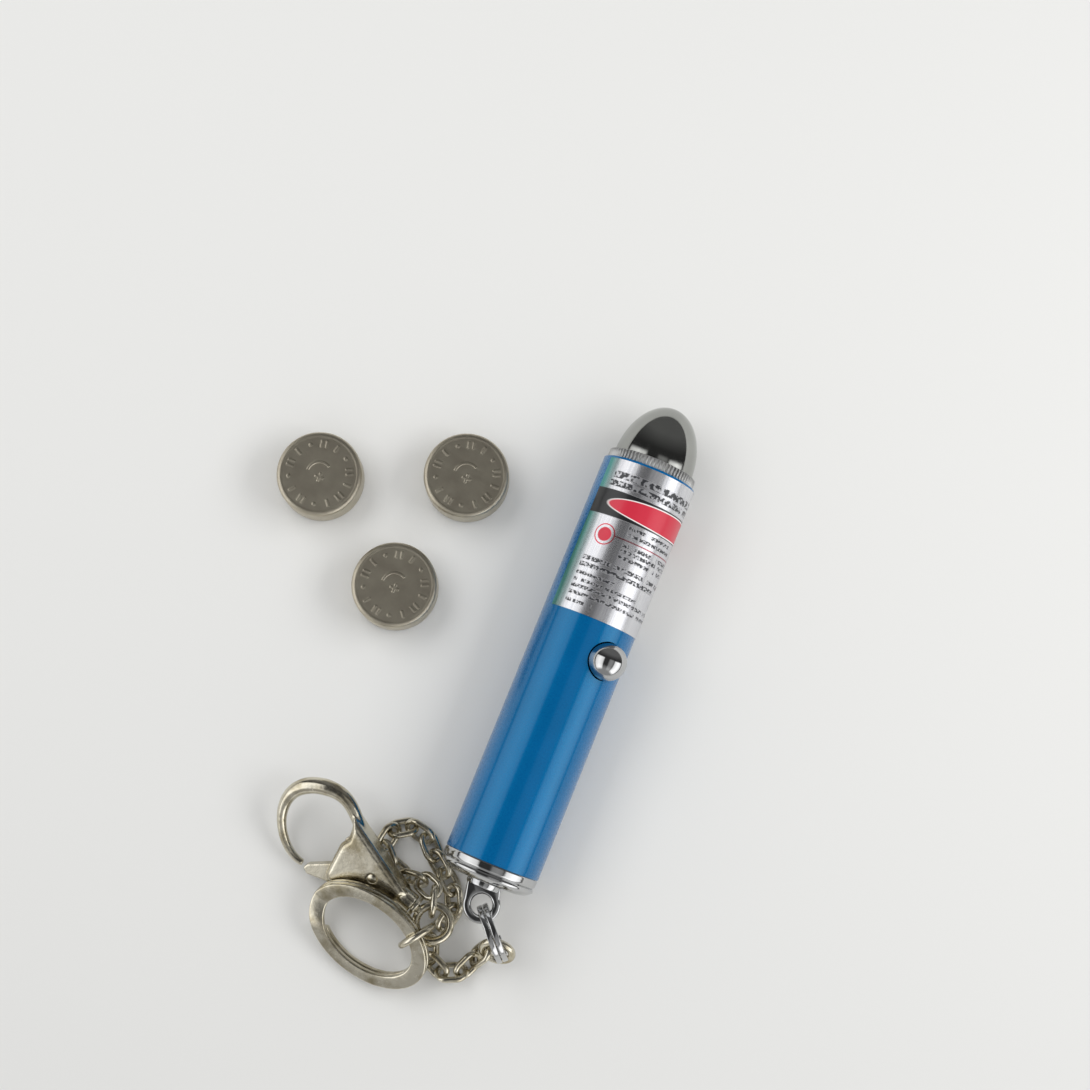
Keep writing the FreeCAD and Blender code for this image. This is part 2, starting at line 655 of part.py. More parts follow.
def make_clasp():
    at = clasp_frame()
    low = -clasp_t / 2
    corners = drawn((-12.4, 4.7), (-0.8, 1.25), (-0.8, -1.4), (-9.8, -5.1), (-10.7, -4.3), (-11.6, 0.4),
                    (-11.2, 1.8), (-11.6, 3.0))
    plate = outline_face(corners, low).extrude(V(0, 0, clasp_t))
    rims = [e for e in plate.Edges if abs(e.Vertexes[0].Z - e.Vertexes[-1].Z) < 1e-6]
    plate = plate.makeChamfer(clasp_edge, rims)
    neck = Part.makeCylinder(neck_r, neck_back - neck_front, V(neck_front, 0, 0), V(1, 0, 0))

    # hook: round wire that thins towards its tip
    hook_line = drawn((-10.6, 3.3, 0.8), (-12.6, 4.5, 0.85), (-15.0, 5.35, 0.95), (-17.8, 4.7, 1.12),
                      (-20.0, 2.9, 1.12), (-20.9, 1.0, 0.98), (-20.9, -0.9, 0.84), (-19.7, -3.6, 0.66),
                      (-17.5, -5.6, 0.6), (-15.5, -6.35, 0.55), (-13.9, -6.3, 0.5))
    curve = Part.BSplineCurve()
    curve.interpolate([V(u, v, 0) for u, v, _ in hook_line])
    rings = []
    samples = 28
    total = curve.length()
    stops = [curve.length(curve.FirstParameter, curve.parameter(V(u, v, 0))) if i else 0.0
             for i, (u, v, _) in enumerate(hook_line)]
    for i in range(samples + 1):
        along = total * i / samples
        k = max(j for j in range(len(stops) - 1) if stops[j] <= along + 1e-9)
        t = min(1.0, (along - stops[k]) / (stops[k + 1] - stops[k]))
        radius = hook_line[k][2] * (1 - t) + hook_line[k + 1][2] * t
        p = curve.parameterAtDistance(along)
        rings.append(Part.Wire(Part.makeCircle(radius, curve.value(p), curve.tangent(p)[0])))
    hook = Part.makeLoft(rings, True, False)

    web = drawn((-13.2, 3.35), (-3.4, 0.95))
    slot = outline_face(web + drawn((-3.0, 0.4), (-3.0, -4.5), (-13.2, -8.5)), -slot_t / 2)
    slot = slot.extrude(V(0, 0, slot_t))
    tip_room = outline_face(drawn((-13.6, -7.4), (-10.6, -7.4), (-10.6, -4.4), (-13.6, -4.4)), -slot_t / 2)
    tip_room = tip_room.extrude(V(0, 0, slot_t))
    cavity = Part.makeCylinder(post_head_r + post_clear, post_head_t + 2 * post_clear,
                               V(-post_head_in, 0, 0), V(1, 0, 0))
    post_way = Part.makeCylinder(post_r + post_clear, neck_back + post_head_in + post_clear,
                                 V(-post_head_in, 0, 0), V(1, 0, 0))
    rivet_way = Part.makeCylinder(rivet_r, 2 * clasp_t, V(rivet_u, rivet_v, -clasp_t))
    body = plate.fuse([neck, hook]).cut(slot).cut(tip_room).cut(cavity).cut(post_way).cut(rivet_way)
    parts["clasp_body"] = placed(body.removeSplitter(), at)

    # gate: flat lever on the rivet, with a thumb tab outside the body
    gate_t = slot_t - 2 * gate_side_clear
    back = drawn((-6.2, 0.75), (-9.2, -0.75))
    lever = outline_face(drawn((-4.5, 0.75)) + back + drawn(
        (-11.2, -3.5), (-13.3, -5.7), (-13.5, -6.5), (-12.6, -6.9), (-9.9, -5.75), (-8.4, -5.95),
        (-7.4, -5.6), (-6.6, -4.3), (-4.4, -2.2)), -gate_t / 2).extrude(V(0, 0, gate_t))
    uprights = [e for e in lever.Edges if abs(e.Vertexes[0].Z - e.Vertexes[-1].Z) > gate_t / 2]
    lever = lever.makeFillet(gate_round, uprights)
    gate_way = Part.makeCylinder(rivet_r + rivet_clear, clasp_t, V(rivet_u, rivet_v, low))
    parts["clasp_gate"] = placed(lever.cut(gate_way), at)

    shank = Part.makeCylinder(rivet_r, clasp_t, V(rivet_u, rivet_v, low))
    heads = []
    for side in (-1, 1):
        z = low - rivet_head_t if side < 0 else clasp_t / 2
        heads.append(Part.makeCylinder(rivet_head_r, rivet_head_t, V(rivet_u, rivet_v, z)))
    parts["clasp_rivet"] = placed(shank.fuse(heads).removeSplitter(), at)

    web_v, gate_v = height_at(gate_spring_u, *web), height_at(gate_spring_u, *back)
    spring_h = web_v - gate_v - gate_spring_wire - gate_spring_low - gate_spring_high
    spring = coil(gate_spring_r, gate_spring_r, spring_h, gate_spring_turns, gate_spring_wire)
    spring.rotate(V(0, 0, 0), V(1, 0, 0), -90)
    spring.translate(V(gate_spring_u, gate_v + gate_spring_wire / 2 + gate_spring_low, 0))
    parts["gate_spring"] = placed(spring, at)

    # swivel: a headed post turns in the clasp's neck, with a loose collar and a round eye
    heading = math.radians(clasp_heading)
    flat = frame_at(V(clasp_x, clasp_y, clasp_z), V(math.cos(heading), math.sin(heading), 0), V(0, 0, 1))
    head_u = post_clear - post_head_in
    eye_u = (eye_centre() - V(clasp_x, clasp_y, clasp_z)).Length
    eye = torus(eye_r, eye_wire)
    eye.translate(V(eye_u, 0, 0))
    post = Part.makeCylinder(post_r, eye_u - eye_r - head_u, V(head_u, 0, 0), V(1, 0, 0))
    head = Part.makeCylinder(post_head_r, post_head_t, V(head_u, 0, 0), V(1, 0, 0))
    parts["swivel_eye"] = placed(eye.fuse([post, head]).removeSplitter(), flat)
    collar = Part.makeCylinder(collar_r, collar_t, V(neck_back + collar_gap, 0, 0), V(1, 0, 0))
    collar = collar.makeFillet(collar_round, [e for e in collar.Edges if e.Curve.TypeId == "Part::GeomCircle"])
    bore = Part.makeCylinder(post_r + post_clear, eye_u, V(0, 0, 0), V(1, 0, 0))
    parts["swivel_collar"] = placed(collar.cut(bore), flat)


def key_ring_frame():
    a = math.radians(key_ring_heading)
    tilt = math.radians(key_ring_tilt_deg)
    long_way = V(math.cos(a), math.sin(a), 0)
    short_way = V(-math.sin(a), math.cos(a), 0) * math.cos(tilt) + V(0, 0, math.sin(tilt))
    half_t = key_ring_h + key_ring_slit / 2
    z = key_ring_r * key_ring_squeeze * math.sin(tilt) + half_t * math.cos(tilt)
    return frame_at(V(key_ring_x, key_ring_y, z + table_clear), long_way, long_way.cross(short_way))


def key_link_frame():
    """Centre and normal of the round link, between the key ring's band and the swivel eye's wire."""
    a = math.radians(key_link_at_deg)
    middle = key_ring_r - key_ring_w / 2
    band = V(math.cos(a) * middle, math.sin(a) * middle * key_ring_squeeze, 0)
    along = V(-math.sin(a), math.cos(a) * key_ring_squeeze, 0)
    frame = key_ring_frame()
    band_at, band_way = frame.multVec(band), frame.Rotation.multVec(along)
    out = band_at - eye_centre()
    out = V(out.x, out.y, 0).normalize()
    wire_at = eye_centre() + out * eye_r
    wire_way = V(out.y, -out.x, 0)
    if wire_way.dot(band_way) < 0:
        wire_way = wire_way * -1
    return band_at, wire_at, (wire_way + band_way.normalize()).normalize()


def make_key_ring():
    ring = split_ring(key_ring_r, key_ring_w, key_ring_h, key_ring_slit)
    ring.rotate(V(0, 0, 0), V(0, 0, 1), key_ring_start_deg)
    squeeze = FreeCAD.Matrix()
    squeeze.scale(V(1, key_ring_squeeze, 1))
    parts["key_ring"] = placed(ring.transformGeometry(squeeze), key_ring_frame())
    band_at, wire_at, normal = key_link_frame()
    middle = (band_at + wire_at) * 0.5 + V(0, 0, key_link_rise)
    parts["key_ring_link"] = placed(torus(key_link_r, key_link_wire), frame_at(middle, V(0, 0, 1), normal))


make_barrel()
make_head()
make_tail()
make_inside()
make_cells()
make_chain()
make_clasp()
make_key_ring()

# the origin is under the middle of the whole set, at the height of the table
low, high = V(1e9, 1e9, 1e9), V(-1e9, -1e9, -1e9)
for shape in parts.values():
    box = shape.optimalBoundingBox()
    low = V(min(low.x, box.XMin), min(low.y, box.YMin), min(low.z, box.ZMin))
    high = V(max(high.x, box.XMax), max(high.y, box.YMax), max(high.z, box.ZMax))
to_origin = V(-(low.x + high.x) / 2, -(low.y + high.y) / 2, -low.z)

os.makedirs("parts", exist_ok=True)
for name, shape in parts.items():
    shape.translate(to_origin)
    shape.exportStep("parts/%s.step" % name)
print(len(parts), "nodes")
for name, shape in parts.items():
    if not shape.isValid() or len(shape.Solids) != 1:
        print("check", name, shape.isValid(), len(shape.Solids))
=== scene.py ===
import functools
import math

import bmesh
import bpy
import numpy as np
from mathutils import Matrix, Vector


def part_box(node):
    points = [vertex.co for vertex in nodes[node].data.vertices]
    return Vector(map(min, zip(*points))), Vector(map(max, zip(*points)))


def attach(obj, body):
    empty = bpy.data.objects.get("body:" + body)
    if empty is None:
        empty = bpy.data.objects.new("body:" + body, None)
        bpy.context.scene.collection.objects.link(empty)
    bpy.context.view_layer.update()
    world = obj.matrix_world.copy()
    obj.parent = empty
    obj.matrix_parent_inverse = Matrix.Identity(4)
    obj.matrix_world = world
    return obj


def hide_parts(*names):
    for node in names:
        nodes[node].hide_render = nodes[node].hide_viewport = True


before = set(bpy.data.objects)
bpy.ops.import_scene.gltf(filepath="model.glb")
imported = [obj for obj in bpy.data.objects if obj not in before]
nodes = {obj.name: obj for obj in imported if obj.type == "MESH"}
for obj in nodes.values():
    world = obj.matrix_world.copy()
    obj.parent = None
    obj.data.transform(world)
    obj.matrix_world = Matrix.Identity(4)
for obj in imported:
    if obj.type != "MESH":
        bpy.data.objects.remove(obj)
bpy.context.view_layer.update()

mm = 0.001

# The pointer's own frame, in mm: X right, Y along the barrel from its tail end, Z up from the table
barrelLow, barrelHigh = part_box("barrel")
axisHeight = 6.58
base = np.array([(barrelLow.x + barrelHigh.x) / 2, barrelLow.y,
                 (barrelLow.z + barrelHigh.z) / 2 - axisHeight * mm])


def unit(vector):
    return np.asarray(vector, float) / np.linalg.norm(vector)


def placeWith(thing, axes, place):
    # Links a camera or lamp, turned to three axes, at a place in mm of the pointer's frame
    matrix = np.eye(4)
    matrix[:3, :3] = np.transpose(axes)
    matrix[:3, 3] = base + np.asarray(place) * mm
    thing.matrix_world = Matrix(matrix.tolist())
    bpy.context.scene.collection.objects.link(thing)


view = dict(
    eye=(0.0, 10.65, 275.6),          # mm in the pointer's frame
    target=(-9.4, 41.61, 6.58),
    rollDeg=22.103,                   # the pointer leans this much to the right
    focalPx=2018.4,                   # focal length in pixels of a picture of this width
    pictureWidth=1090.0,
    sensorWidth=36.0,                 # mm
    clip=(0.01, 20.0),                # m
)


def makeCamera():
    eye = np.array(view["eye"])
    forward = unit(view["target"] - eye)
    roll = math.radians(view["rollDeg"])
    right = unit(np.cross(forward, (-math.sin(roll), math.cos(roll), 0.0)))
    data = bpy.data.cameras.new("camera")
    data.sensor_width = view["sensorWidth"]
    data.lens = view["sensorWidth"] * view["focalPx"] / view["pictureWidth"]
    data.clip_start, data.clip_end = view["clip"]
    camera = bpy.data.objects.new("camera", data)
    placeWith(camera, (right, np.cross(right, forward), -forward), eye)
    bpy.context.scene.camera = camera


makeCamera()
bpy.context.scene.view_settings.view_transform = "Standard"
print("camera ready")


def linear(hexCode):  # Linear colour with alpha 1 from an sRGB hex code
    channels = [int(hexCode[i:i + 2], 16) / 255 for i in (0, 2, 4)]
    return tuple(c / 12.92 if c <= 0.04045 else ((c + 0.055) / 1.055) ** 2.4 for c in channels) + (1.0,)


def nodeAdder(tree):
    def add(kind, *values, inputs=None, out=0, **settings):
        # Adds a node, sets its properties, fills or links its inputs in order or by name, gives one output
        node = tree.nodes.new("ShaderNode" + kind)
        for key, value in settings.items():
            setattr(node, key, value)
        for key, value in [*enumerate(values), *(inputs or {}).items()]:
            if isinstance(value, bpy.types.NodeSocket):
                tree.links.new(value, node.inputs[key])
            else:
                node.inputs[key].default_value = value
        return node if out is None else node.outputs[out]

    return add


def product(add, *values):  # Several outputs and numbers multiplied together
    return functools.reduce(lambda first, second: add("Math", first, second, operation="MULTIPLY"), values)


def newMaterial(name, constants):
    # A material with constants on its shader's sockets. Gives what adds nodes to it, and what feeds the
    # shader from them and gives the material
    material = bpy.data.materials.new(name)
    material.use_nodes = True
    tree = material.node_tree
    shader = tree.nodes["Principled BSDF"]
    for key, value in constants.items():
        shader.inputs[key].default_value = value

    def feed(links):
        for key, output in links.items():
            tree.links.new(output, shader.inputs[key])
        return material

    return nodeAdder(tree), feed


studio = dict(
    sky=0.62,                         # even light for matt surfaces
    # what polished surfaces reflect: angle from overhead towards +X (from, peak, to), reach towards +Y as
    # the sine of its angle, brightness at the edges and at the peak
    panels=[(-84.0, -55.0, -29.0, 0.24, 1.05, 1.60),
            (4.0, 20.0, 34.0, 0.26, 0.26, 0.34),
            (39.0, 66.0, 85.0, 0.24, 1.20, 2.10)],
    panelSoftness=3.0,                # degrees
    panelFade=0.06,                   # sine over which a panel ends towards +Y
    panelTail=(-0.85, -0.70),         # sines between which the panels fade in from -Y
    front=(0.42, 0.75, 0.045, 0.17),  # towards +Y: from and to as sines, brightness before and after
    back=(-0.40, -0.75, 0.0, 0.34),   # the same towards -Y
    # name, centre in mm from the barrel's middle, width across, length along the barrel, watts
    lamps=[("leftSoftbox", (-200.0, 60.0, 260.0), 160.0, 300.0, 0.36),
           ("rightSoftbox", (240.0, 120.0, 230.0), 160.0, 300.0, 0.60)],
    barrelMiddle=(0.0, 28.0, 6.58),
    floorHalf=1.5,                    # m
    floor="dededc",
)


def makeStudio():
    # World: even sky for matt surfaces, and for reflections a dark room with long soft panels. A panel is
    # the product of ramps over the angle across the barrel and over the sine along it
    world = bpy.data.worlds.new("studio")
    bpy.context.scene.world = world
    world.use_nodes = True
    world.node_tree.nodes.clear()
    add = nodeAdder(world.node_tree)
    x, y, z = add("SeparateXYZ", add("TexCoord", out="Generated"), out=None).outputs
    across = product(add, add("Math", x, z, operation="ARCTAN2"), 180 / math.pi)
    glow = add("Math", add("MapRange", y, *studio["front"]), add("MapRange", y, *studio["back"]),
               operation="ADD")
    soft = studio["panelSoftness"]
    for start, peak, end, reach, edge, top in studio["panels"]:
        inside = product(add, add("MapRange", across, start - soft, start + soft),
                         add("MapRange", across, end - soft, end + soft, 1.0, 0.0),
                         add("MapRange", y, reach, reach + studio["panelFade"], 1.0, 0.0),
                         add("MapRange", y, *studio["panelTail"]))
        rise = add("Math", add("MapRange", across, start, peak, edge, top),
                   add("MapRange", across, peak, end, top, edge), operation="MINIMUM")
        glow = add("Math", glow, product(add, inside, rise), operation="ADD")
    white = linear("ffffff")
    even = add("Background", inputs={"Color": white, "Strength": studio["sky"]})
    room = add("Background", inputs={"Color": white, "Strength": glow})
    mixed = add("MixShader", add("LightPath", out="Is Glossy Ray"), even, room)
    add("OutputWorld", inputs={"Surface": mixed}, out=None)

    for name, place, width, length, watts in studio["lamps"]:
        data = bpy.data.lights.new(name, "AREA")
        data.shape = "RECTANGLE"
        data.size, data.size_y = width * mm, length * mm
        data.energy = watts
        lamp = bpy.data.objects.new(name, data)
        lamp.visible_glossy = False
        away = unit(place)
        side = unit(np.cross((0, 1, 0), away))
        placeWith(lamp, (side, np.cross(away, side), away), np.add(studio["barrelMiddle"], place))

    half = studio["floorHalf"]
    mesh = bpy.data.meshes.new("floor")
    mesh.from_pydata([(-half, -half, 0), (half, -half, 0), (half, half, 0), (-half, half, 0)], [],
                     [(0, 1, 2, 3)])
    floor = bpy.data.objects.new("floor", mesh)
    bpy.context.scene.collection.objects.link(floor)
    feed = newMaterial("paintedFloor", {"Roughness": 0.9, "Specular IOR Level": 0.1,
                                        "Base Color": linear(studio["floor"])})[1]
    mesh.materials.append(feed({}))


makeStudio()
print("studio ready")


def grain(add, perMm, detail=3.0, roughness=0.55, stretch=(1.0, 1.0, 1.0), turn=0.0):
    # Noise on Object coordinates, with about perMm grains to a millimetre
    point = add("Mapping", inputs={"Vector": add("TexCoord", out="Object"), "Rotation": (0.0, 0.0, turn),
                                   "Scale": [times / mm for times in stretch]})
    return add("TexNoise", inputs={"Vector": point, "Scale": perMm, "Detail": detail, "Roughness": roughness})


def twoTone(add, noise, first, second, low=0.3, high=0.7):  # Blends two close colours by a noise
    share = add("MapRange", noise, low, high)
    return add("Mix", inputs={0: share, 6: linear(first), 7: linear(second)}, out=2, data_type="RGBA")


def blueLacquerOnBrass():
    # Transparent blue lacquer over bright metal: deep colour, and a hard clear gloss with faint orange
    # peel, whose waves are about 1 mm apart
    add, feed = newMaterial("blueLacquerOnBrass", {
        "Specular IOR Level": 1.0, "Specular Tint": linear("2ad4ff"), "Coat Weight": 0.5,
        "Coat Roughness": 0.03, "Coat IOR": 1.52})
    return feed({
        "Base Color": twoTone(add, grain(add, 0.12, 2.0), "01558c", "035b96"),
        "Roughness": add("MapRange", grain(add, 2.2), 0.3, 0.7, 0.24, 0.32),
        "Coat Normal": add("Bump", inputs={"Height": grain(add, 0.9, 1.0), "Distance": 0.004 * mm,
                                           "Strength": 0.5})})


def polishedPlate(name, first, second):
    # Plated and polished metal: nearly a mirror, with wiping marks that only change its gloss. They are
    # hairlines, drawn about 0.6 mm apart so that they show
    add, feed = newMaterial(name, {"Metallic": 1.0})
    return feed({
        "Base Color": twoTone(add, grain(add, 0.25, 2.0), first, second),
        "Roughness": add("MapRange", grain(add, 1.6, 5.0, 0.65), 0.35, 0.7, 0.05, 0.13)})


def satinChromePlate():
    # Chrome over rolled knurling, whose ridges, worn every 0.2 mm or so, give a soft and even shine
    add, feed = newMaterial("satinChromePlate", {"Metallic": 1.0})
    cloud = grain(add, 0.6)
    return feed({
        "Base Color": twoTone(add, cloud, "babbbb", "c8c8c6"),
        "Roughness": add("MapRange", cloud, 0.3, 0.7, 0.38, 0.46),
        "Normal": add("Bump", inputs={"Height": grain(add, 5.0, 2.0), "Distance": 0.02 * mm,
                                      "Strength": 0.6})})


def agedNickelPlate():
    # Nickel over a zinc casting: warm grey, softly polished, with brownish tarnish in patches of about
    # 3 mm and shallow pits a bit under 1 mm apart
    add, feed = newMaterial("agedNickelPlate", {"Metallic": 1.0})
    return feed({
        "Base Color": twoTone(add, grain(add, 0.35, 4.0), "d8d2c0", "aaa086", 0.42, 0.66),
        "Roughness": add("MapRange", grain(add, 1.8, 4.0), 0.3, 0.7, 0.14, 0.28),
        "Normal": add("Bump", inputs={"Height": grain(add, 1.3), "Distance": 0.03 * mm, "Strength": 0.6})})


def dullNickelSteel():
    # Nickel-plated deep-drawn steel of a button cell: grey with a soft sheen and fine wiping scratches,
    # drawn 0.14 mm wide so that they show
    add, feed = newMaterial("dullNickelSteel", {"Metallic": 1.0})
    scratches = grain(add, 1.0, 4.0, 0.7, stretch=(0.35, 7.0, 1.0), turn=0.6)
    return feed({
        "Base Color": twoTone(add, grain(add, 0.4), "c6bfad", "b9b1a0", 0.35, 0.65),
        "Roughness": add("MapRange", scratches, 0.3, 0.75, 0.40, 0.52),
        "Normal": add("Bump", inputs={"Height": scratches, "Distance": 0.006 * mm, "Strength": 0.5})})


def plainFinish(name, first, second, perMm, roughness, metallic=0.0):
    # A simple finish: two close colours in noise, gloss that varies with it, and a slight surface
    add, feed = newMaterial(name, {"Metallic": metallic})
    noise = grain(add, perMm)
    return feed({
        "Base Color": twoTone(add, noise, first, second),
        "Roughness": add("MapRange", noise, 0.3, 0.7, roughness - 0.06, roughness + 0.06),
        "Normal": add("Bump", inputs={"Height": noise, "Distance": 0.01 * mm, "Strength": 0.5})})


def clearAcrylic():  # Moulded clear acrylic: IOR 1.49, smooth, with a trace of flow marks
    add, feed = newMaterial("mouldedClearAcrylic", {
        "IOR": 1.49, "Transmission Weight": 1.0, "Base Color": linear("f4f7f8")})
    return feed({"Roughness": add("MapRange", grain(add, 0.8, 2.0), 0.3, 0.7, 0.02, 0.05)})


finish = dict(
    lacquer=blueLacquerOnBrass(),
    chrome=polishedPlate("brightChromePlate", "bcbdbe", "c4c4c3"),
    # the nose's chrome is the bright chrome with a darker colour: painted shade that stands for the darker
    # room its rim would reflect
    darkChrome=polishedPlate("shadedChromePlate", "9fa09d", "a8a9a5"),
    satin=satinChromePlate(),
    nickel=agedNickelPlate(),
    cell=dullNickelSteel(),
    acrylic=clearAcrylic(),
    # name, two colours, grains to a millimetre, roughness, metallic
    nylon=plainFinish("mouldedNylon", "e2ddcf", "d5cfbf", 1.5, 0.55),
    film=plainFinish("polyesterFilm", "f0f0ec", "e6e6e1", 0.8, 0.35),
    abs=plainFinish("mouldedAbs", "1d1d1f", "262628", 4.0, 0.5),
    laminate=plainFinish("glassEpoxyLaminate", "1d5a34", "24693d", 3.0, 0.4),
    ceramic=plainFinish("firedCeramic", "1a1a1c", "242425", 5.0, 0.45),
    steel=plainFinish("stampedSteel", "b9babb", "a9aaab", 2.0, 0.3, 1.0),
    springWire=plainFinish("drawnSpringWire", "b4b2ab", "9c9a92", 3.0, 0.28, 1.0),
    brass=plainFinish("turnedBrass", "c9a558", "b8913f", 2.0, 0.26, 1.0),
    goldFlash=plainFinish("goldFlashedSteel", "d6c48d", "c2ad70", 2.0, 0.25, 1.0),
)

insideFinish = {
    "battery_sleeve": "film", "board_carrier": "abs", "circuit_board": "laminate", "resistor": "ceramic",
    "switch_case": "steel", "switch_plunger": "abs", "front_contact": "brass", "contact_spring": "springWire",
    "tail_spring": "springWire", "module_housing": "brass", "laser_diode": "goldFlash",
    "lens_spring": "springWire", "collimating_lens": "acrylic", "lens_retainer": "brass",
    "aperture_window": "acrylic", "gate_spring": "springWire",
}
for nodeName, finishName in insideFinish.items():
    nodes[nodeName].data.materials.clear()
    nodes[nodeName].data.materials.append(finish[finishName])
print("materials ready")


def gridQuads(rows, columns, closeRows=False, closeColumns=False):
    # Quads over a grid of points numbered row by row
    index = np.arange(rows * columns).reshape(rows, columns)
    if closeRows:
        index = np.vstack([index, index[:1]])
    if closeColumns:
        index = np.hstack([index, index[:, :1]])
    quads = np.stack([index[:-1, :-1], index[:-1, 1:], index[1:, 1:], index[1:, :-1]], axis=-1)
    return quads.reshape(-1, 4)


def sheetOf(points, closeRows=False, closeColumns=False):
    # A grid of points, rows by columns by 3, as one sheet of quads
    points = np.asarray(points, float)
    rows, columns = points.shape[:2]
    return points.reshape(-1, 3), gridQuads(rows, columns, closeRows, closeColumns)


def endCap(loop):  # Closes a loop of points with a fan about its middle, written as a two-row grid
    middle = np.repeat(loop.mean(axis=0, keepdims=True), len(loop), axis=0)
    return sheetOf(np.stack([loop, middle]), closeColumns=True)


def addPiece(name, sheets, material, body, replaced, sharpDeg):
    # Joins sheets in mm of the pointer's frame into one mesh, merges their edges and turns it outwards
    points, faces, count = [], [], 0
    for sheetPoints, sheetFaces in sheets:
        points.append(sheetPoints)
        faces.append(sheetFaces + count)
        count += len(sheetPoints)
    points = np.concatenate(points) * mm + base
    mesh = bpy.data.meshes.new(name)
    mesh.from_pydata(points.tolist(), [], np.concatenate(faces).tolist())
    bm = bmesh.new()
    bm.from_mesh(mesh)
    bmesh.ops.remove_doubles(bm, verts=bm.verts, dist=2e-6)
    bmesh.ops.dissolve_degenerate(bm, dist=1e-7, edges=bm.edges)
    bmesh.ops.recalc_face_normals(bm, faces=bm.faces)
    bm.to_mesh(mesh)
    bm.free()
    mesh.shade_smooth()
    mesh.set_sharp_from_angle(angle=math.radians(sharpDeg))
    mesh.materials.append(material)
    piece = bpy.data.objects.new(name, mesh)
    bpy.context.scene.collection.objects.link(piece)
    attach(piece, body)
    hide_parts(*replaced)
    return piece


def fullTurn(count):
    return np.linspace(0, 2 * math.pi, count, endpoint=False)


def onTube(radius, angle, y):  # Points round the pointer's axis, at an angle from the top towards +X
    x, z = radius * np.sin(angle), axisHeight + radius * np.cos(angle)
    return np.stack(np.broadcast_arrays(x, y, z), axis=-1)


def turnedSheet(profile, segments, origin=(0.0, 0.0, axisHeight), axis=(0.0, 1.0, 0.0), closed=True):
    # Turns (radius, along) points about an axis: origin + axis * along + radius * direction(angle)
    axis = unit(axis)
    first = unit(np.cross(axis, (0.0, 0.0, 1.0) if abs(axis[2]) < 0.9 else (0.0, 1.0, 0.0)))
    angle = fullTurn(segments)[:, None]
    around = np.cos(angle) * first + np.sin(angle) * np.cross(axis, first)
    radius, along = np.transpose(profile)[:, :, None, None]
    return sheetOf(origin + along * axis + radius * around, closeRows=closed, closeColumns=True)


def arcThrough(start, middle, end, count):
    # Points on the circle through three points, from start to end, without the last one
    (ax, ay), (bx, by), (cx, cy) = start, middle, end
    a, b, c = ax * ax + ay * ay, bx * bx + by * by, cx * cx + cy * cy
    d = 2 * (ax * (by - cy) + bx * (cy - ay) + cx * (ay - by))
    ux = (a * (by - cy) + b * (cy - ay) + c * (ay - by)) / d
    uy = (a * (cx - bx) + b * (ax - cx) + c * (bx - ax)) / d
    first = math.atan2(ay - uy, ax - ux)
    swing = [(math.atan2(y - uy, x - ux) - first + math.pi) % (2 * math.pi) - math.pi
             for x, y in (middle, end)]
    if swing[0] * swing[1] < 0 or abs(swing[1]) < abs(swing[0]):
        swing[1] -= math.copysign(2 * math.pi, swing[1])
    turn = first + np.linspace(0, swing[1], count, endpoint=False)
    radius = math.hypot(ax - ux, ay - uy)
    return np.stack([ux + radius * np.cos(turn), uy + radius * np.sin(turn)], axis=1)


def roundedCorners(corners, radius, steps=5):
    # A closed outline whose corners are rounded: each corner becomes a short quadratic curve
    corners = np.asarray(corners, float)
    back = np.roll(corners, 1, axis=0) - corners
    ahead = np.roll(corners, -1, axis=0) - corners
    backLength = np.linalg.norm(back, axis=1, keepdims=True)
    aheadLength = np.linalg.norm(ahead, axis=1, keepdims=True)
    cut = np.minimum(radius, 0.45 * np.minimum(backLength, aheadLength))
    a = corners + back / backLength * cut
    b = corners + ahead / aheadLength * cut
    t = np.linspace(0, 1, steps)[None, :, None]
    curve = (1 - t) ** 2 * a[:, None] + 2 * t * (1 - t) * corners[:, None] + t ** 2 * b[:, None]
    return curve.reshape(-1, corners.shape[1])


def carried(path, across, up, section, closed=False):
    # Carries a section of (across, up) points along a path with its two side directions
    sideways, upwards = np.transpose(section)[:, None, :, None]
    points = path[:, None] + across[:, None] * sideways + up[:, None] * upwards
    sheets = [sheetOf(points, closeRows=closed, closeColumns=True)]
    if not closed:
        sheets += [endCap(points[0]), endCap(points[-1])]
    return sheets


def circleSection(radius, count):
    angle = fullTurn(count)
    return np.stack([radius * np.cos(angle), radius * np.sin(angle)], axis=1)


barrel = dict(radius=6.5, wall=0.5, length=55.8, edge=0.08, segments=192, holeY=29.8, holeTiltDeg=37.0,
              holeRadius=2.62, patchCells=20, patchRings=10, rowsBelow=39, rowsAbove=33)


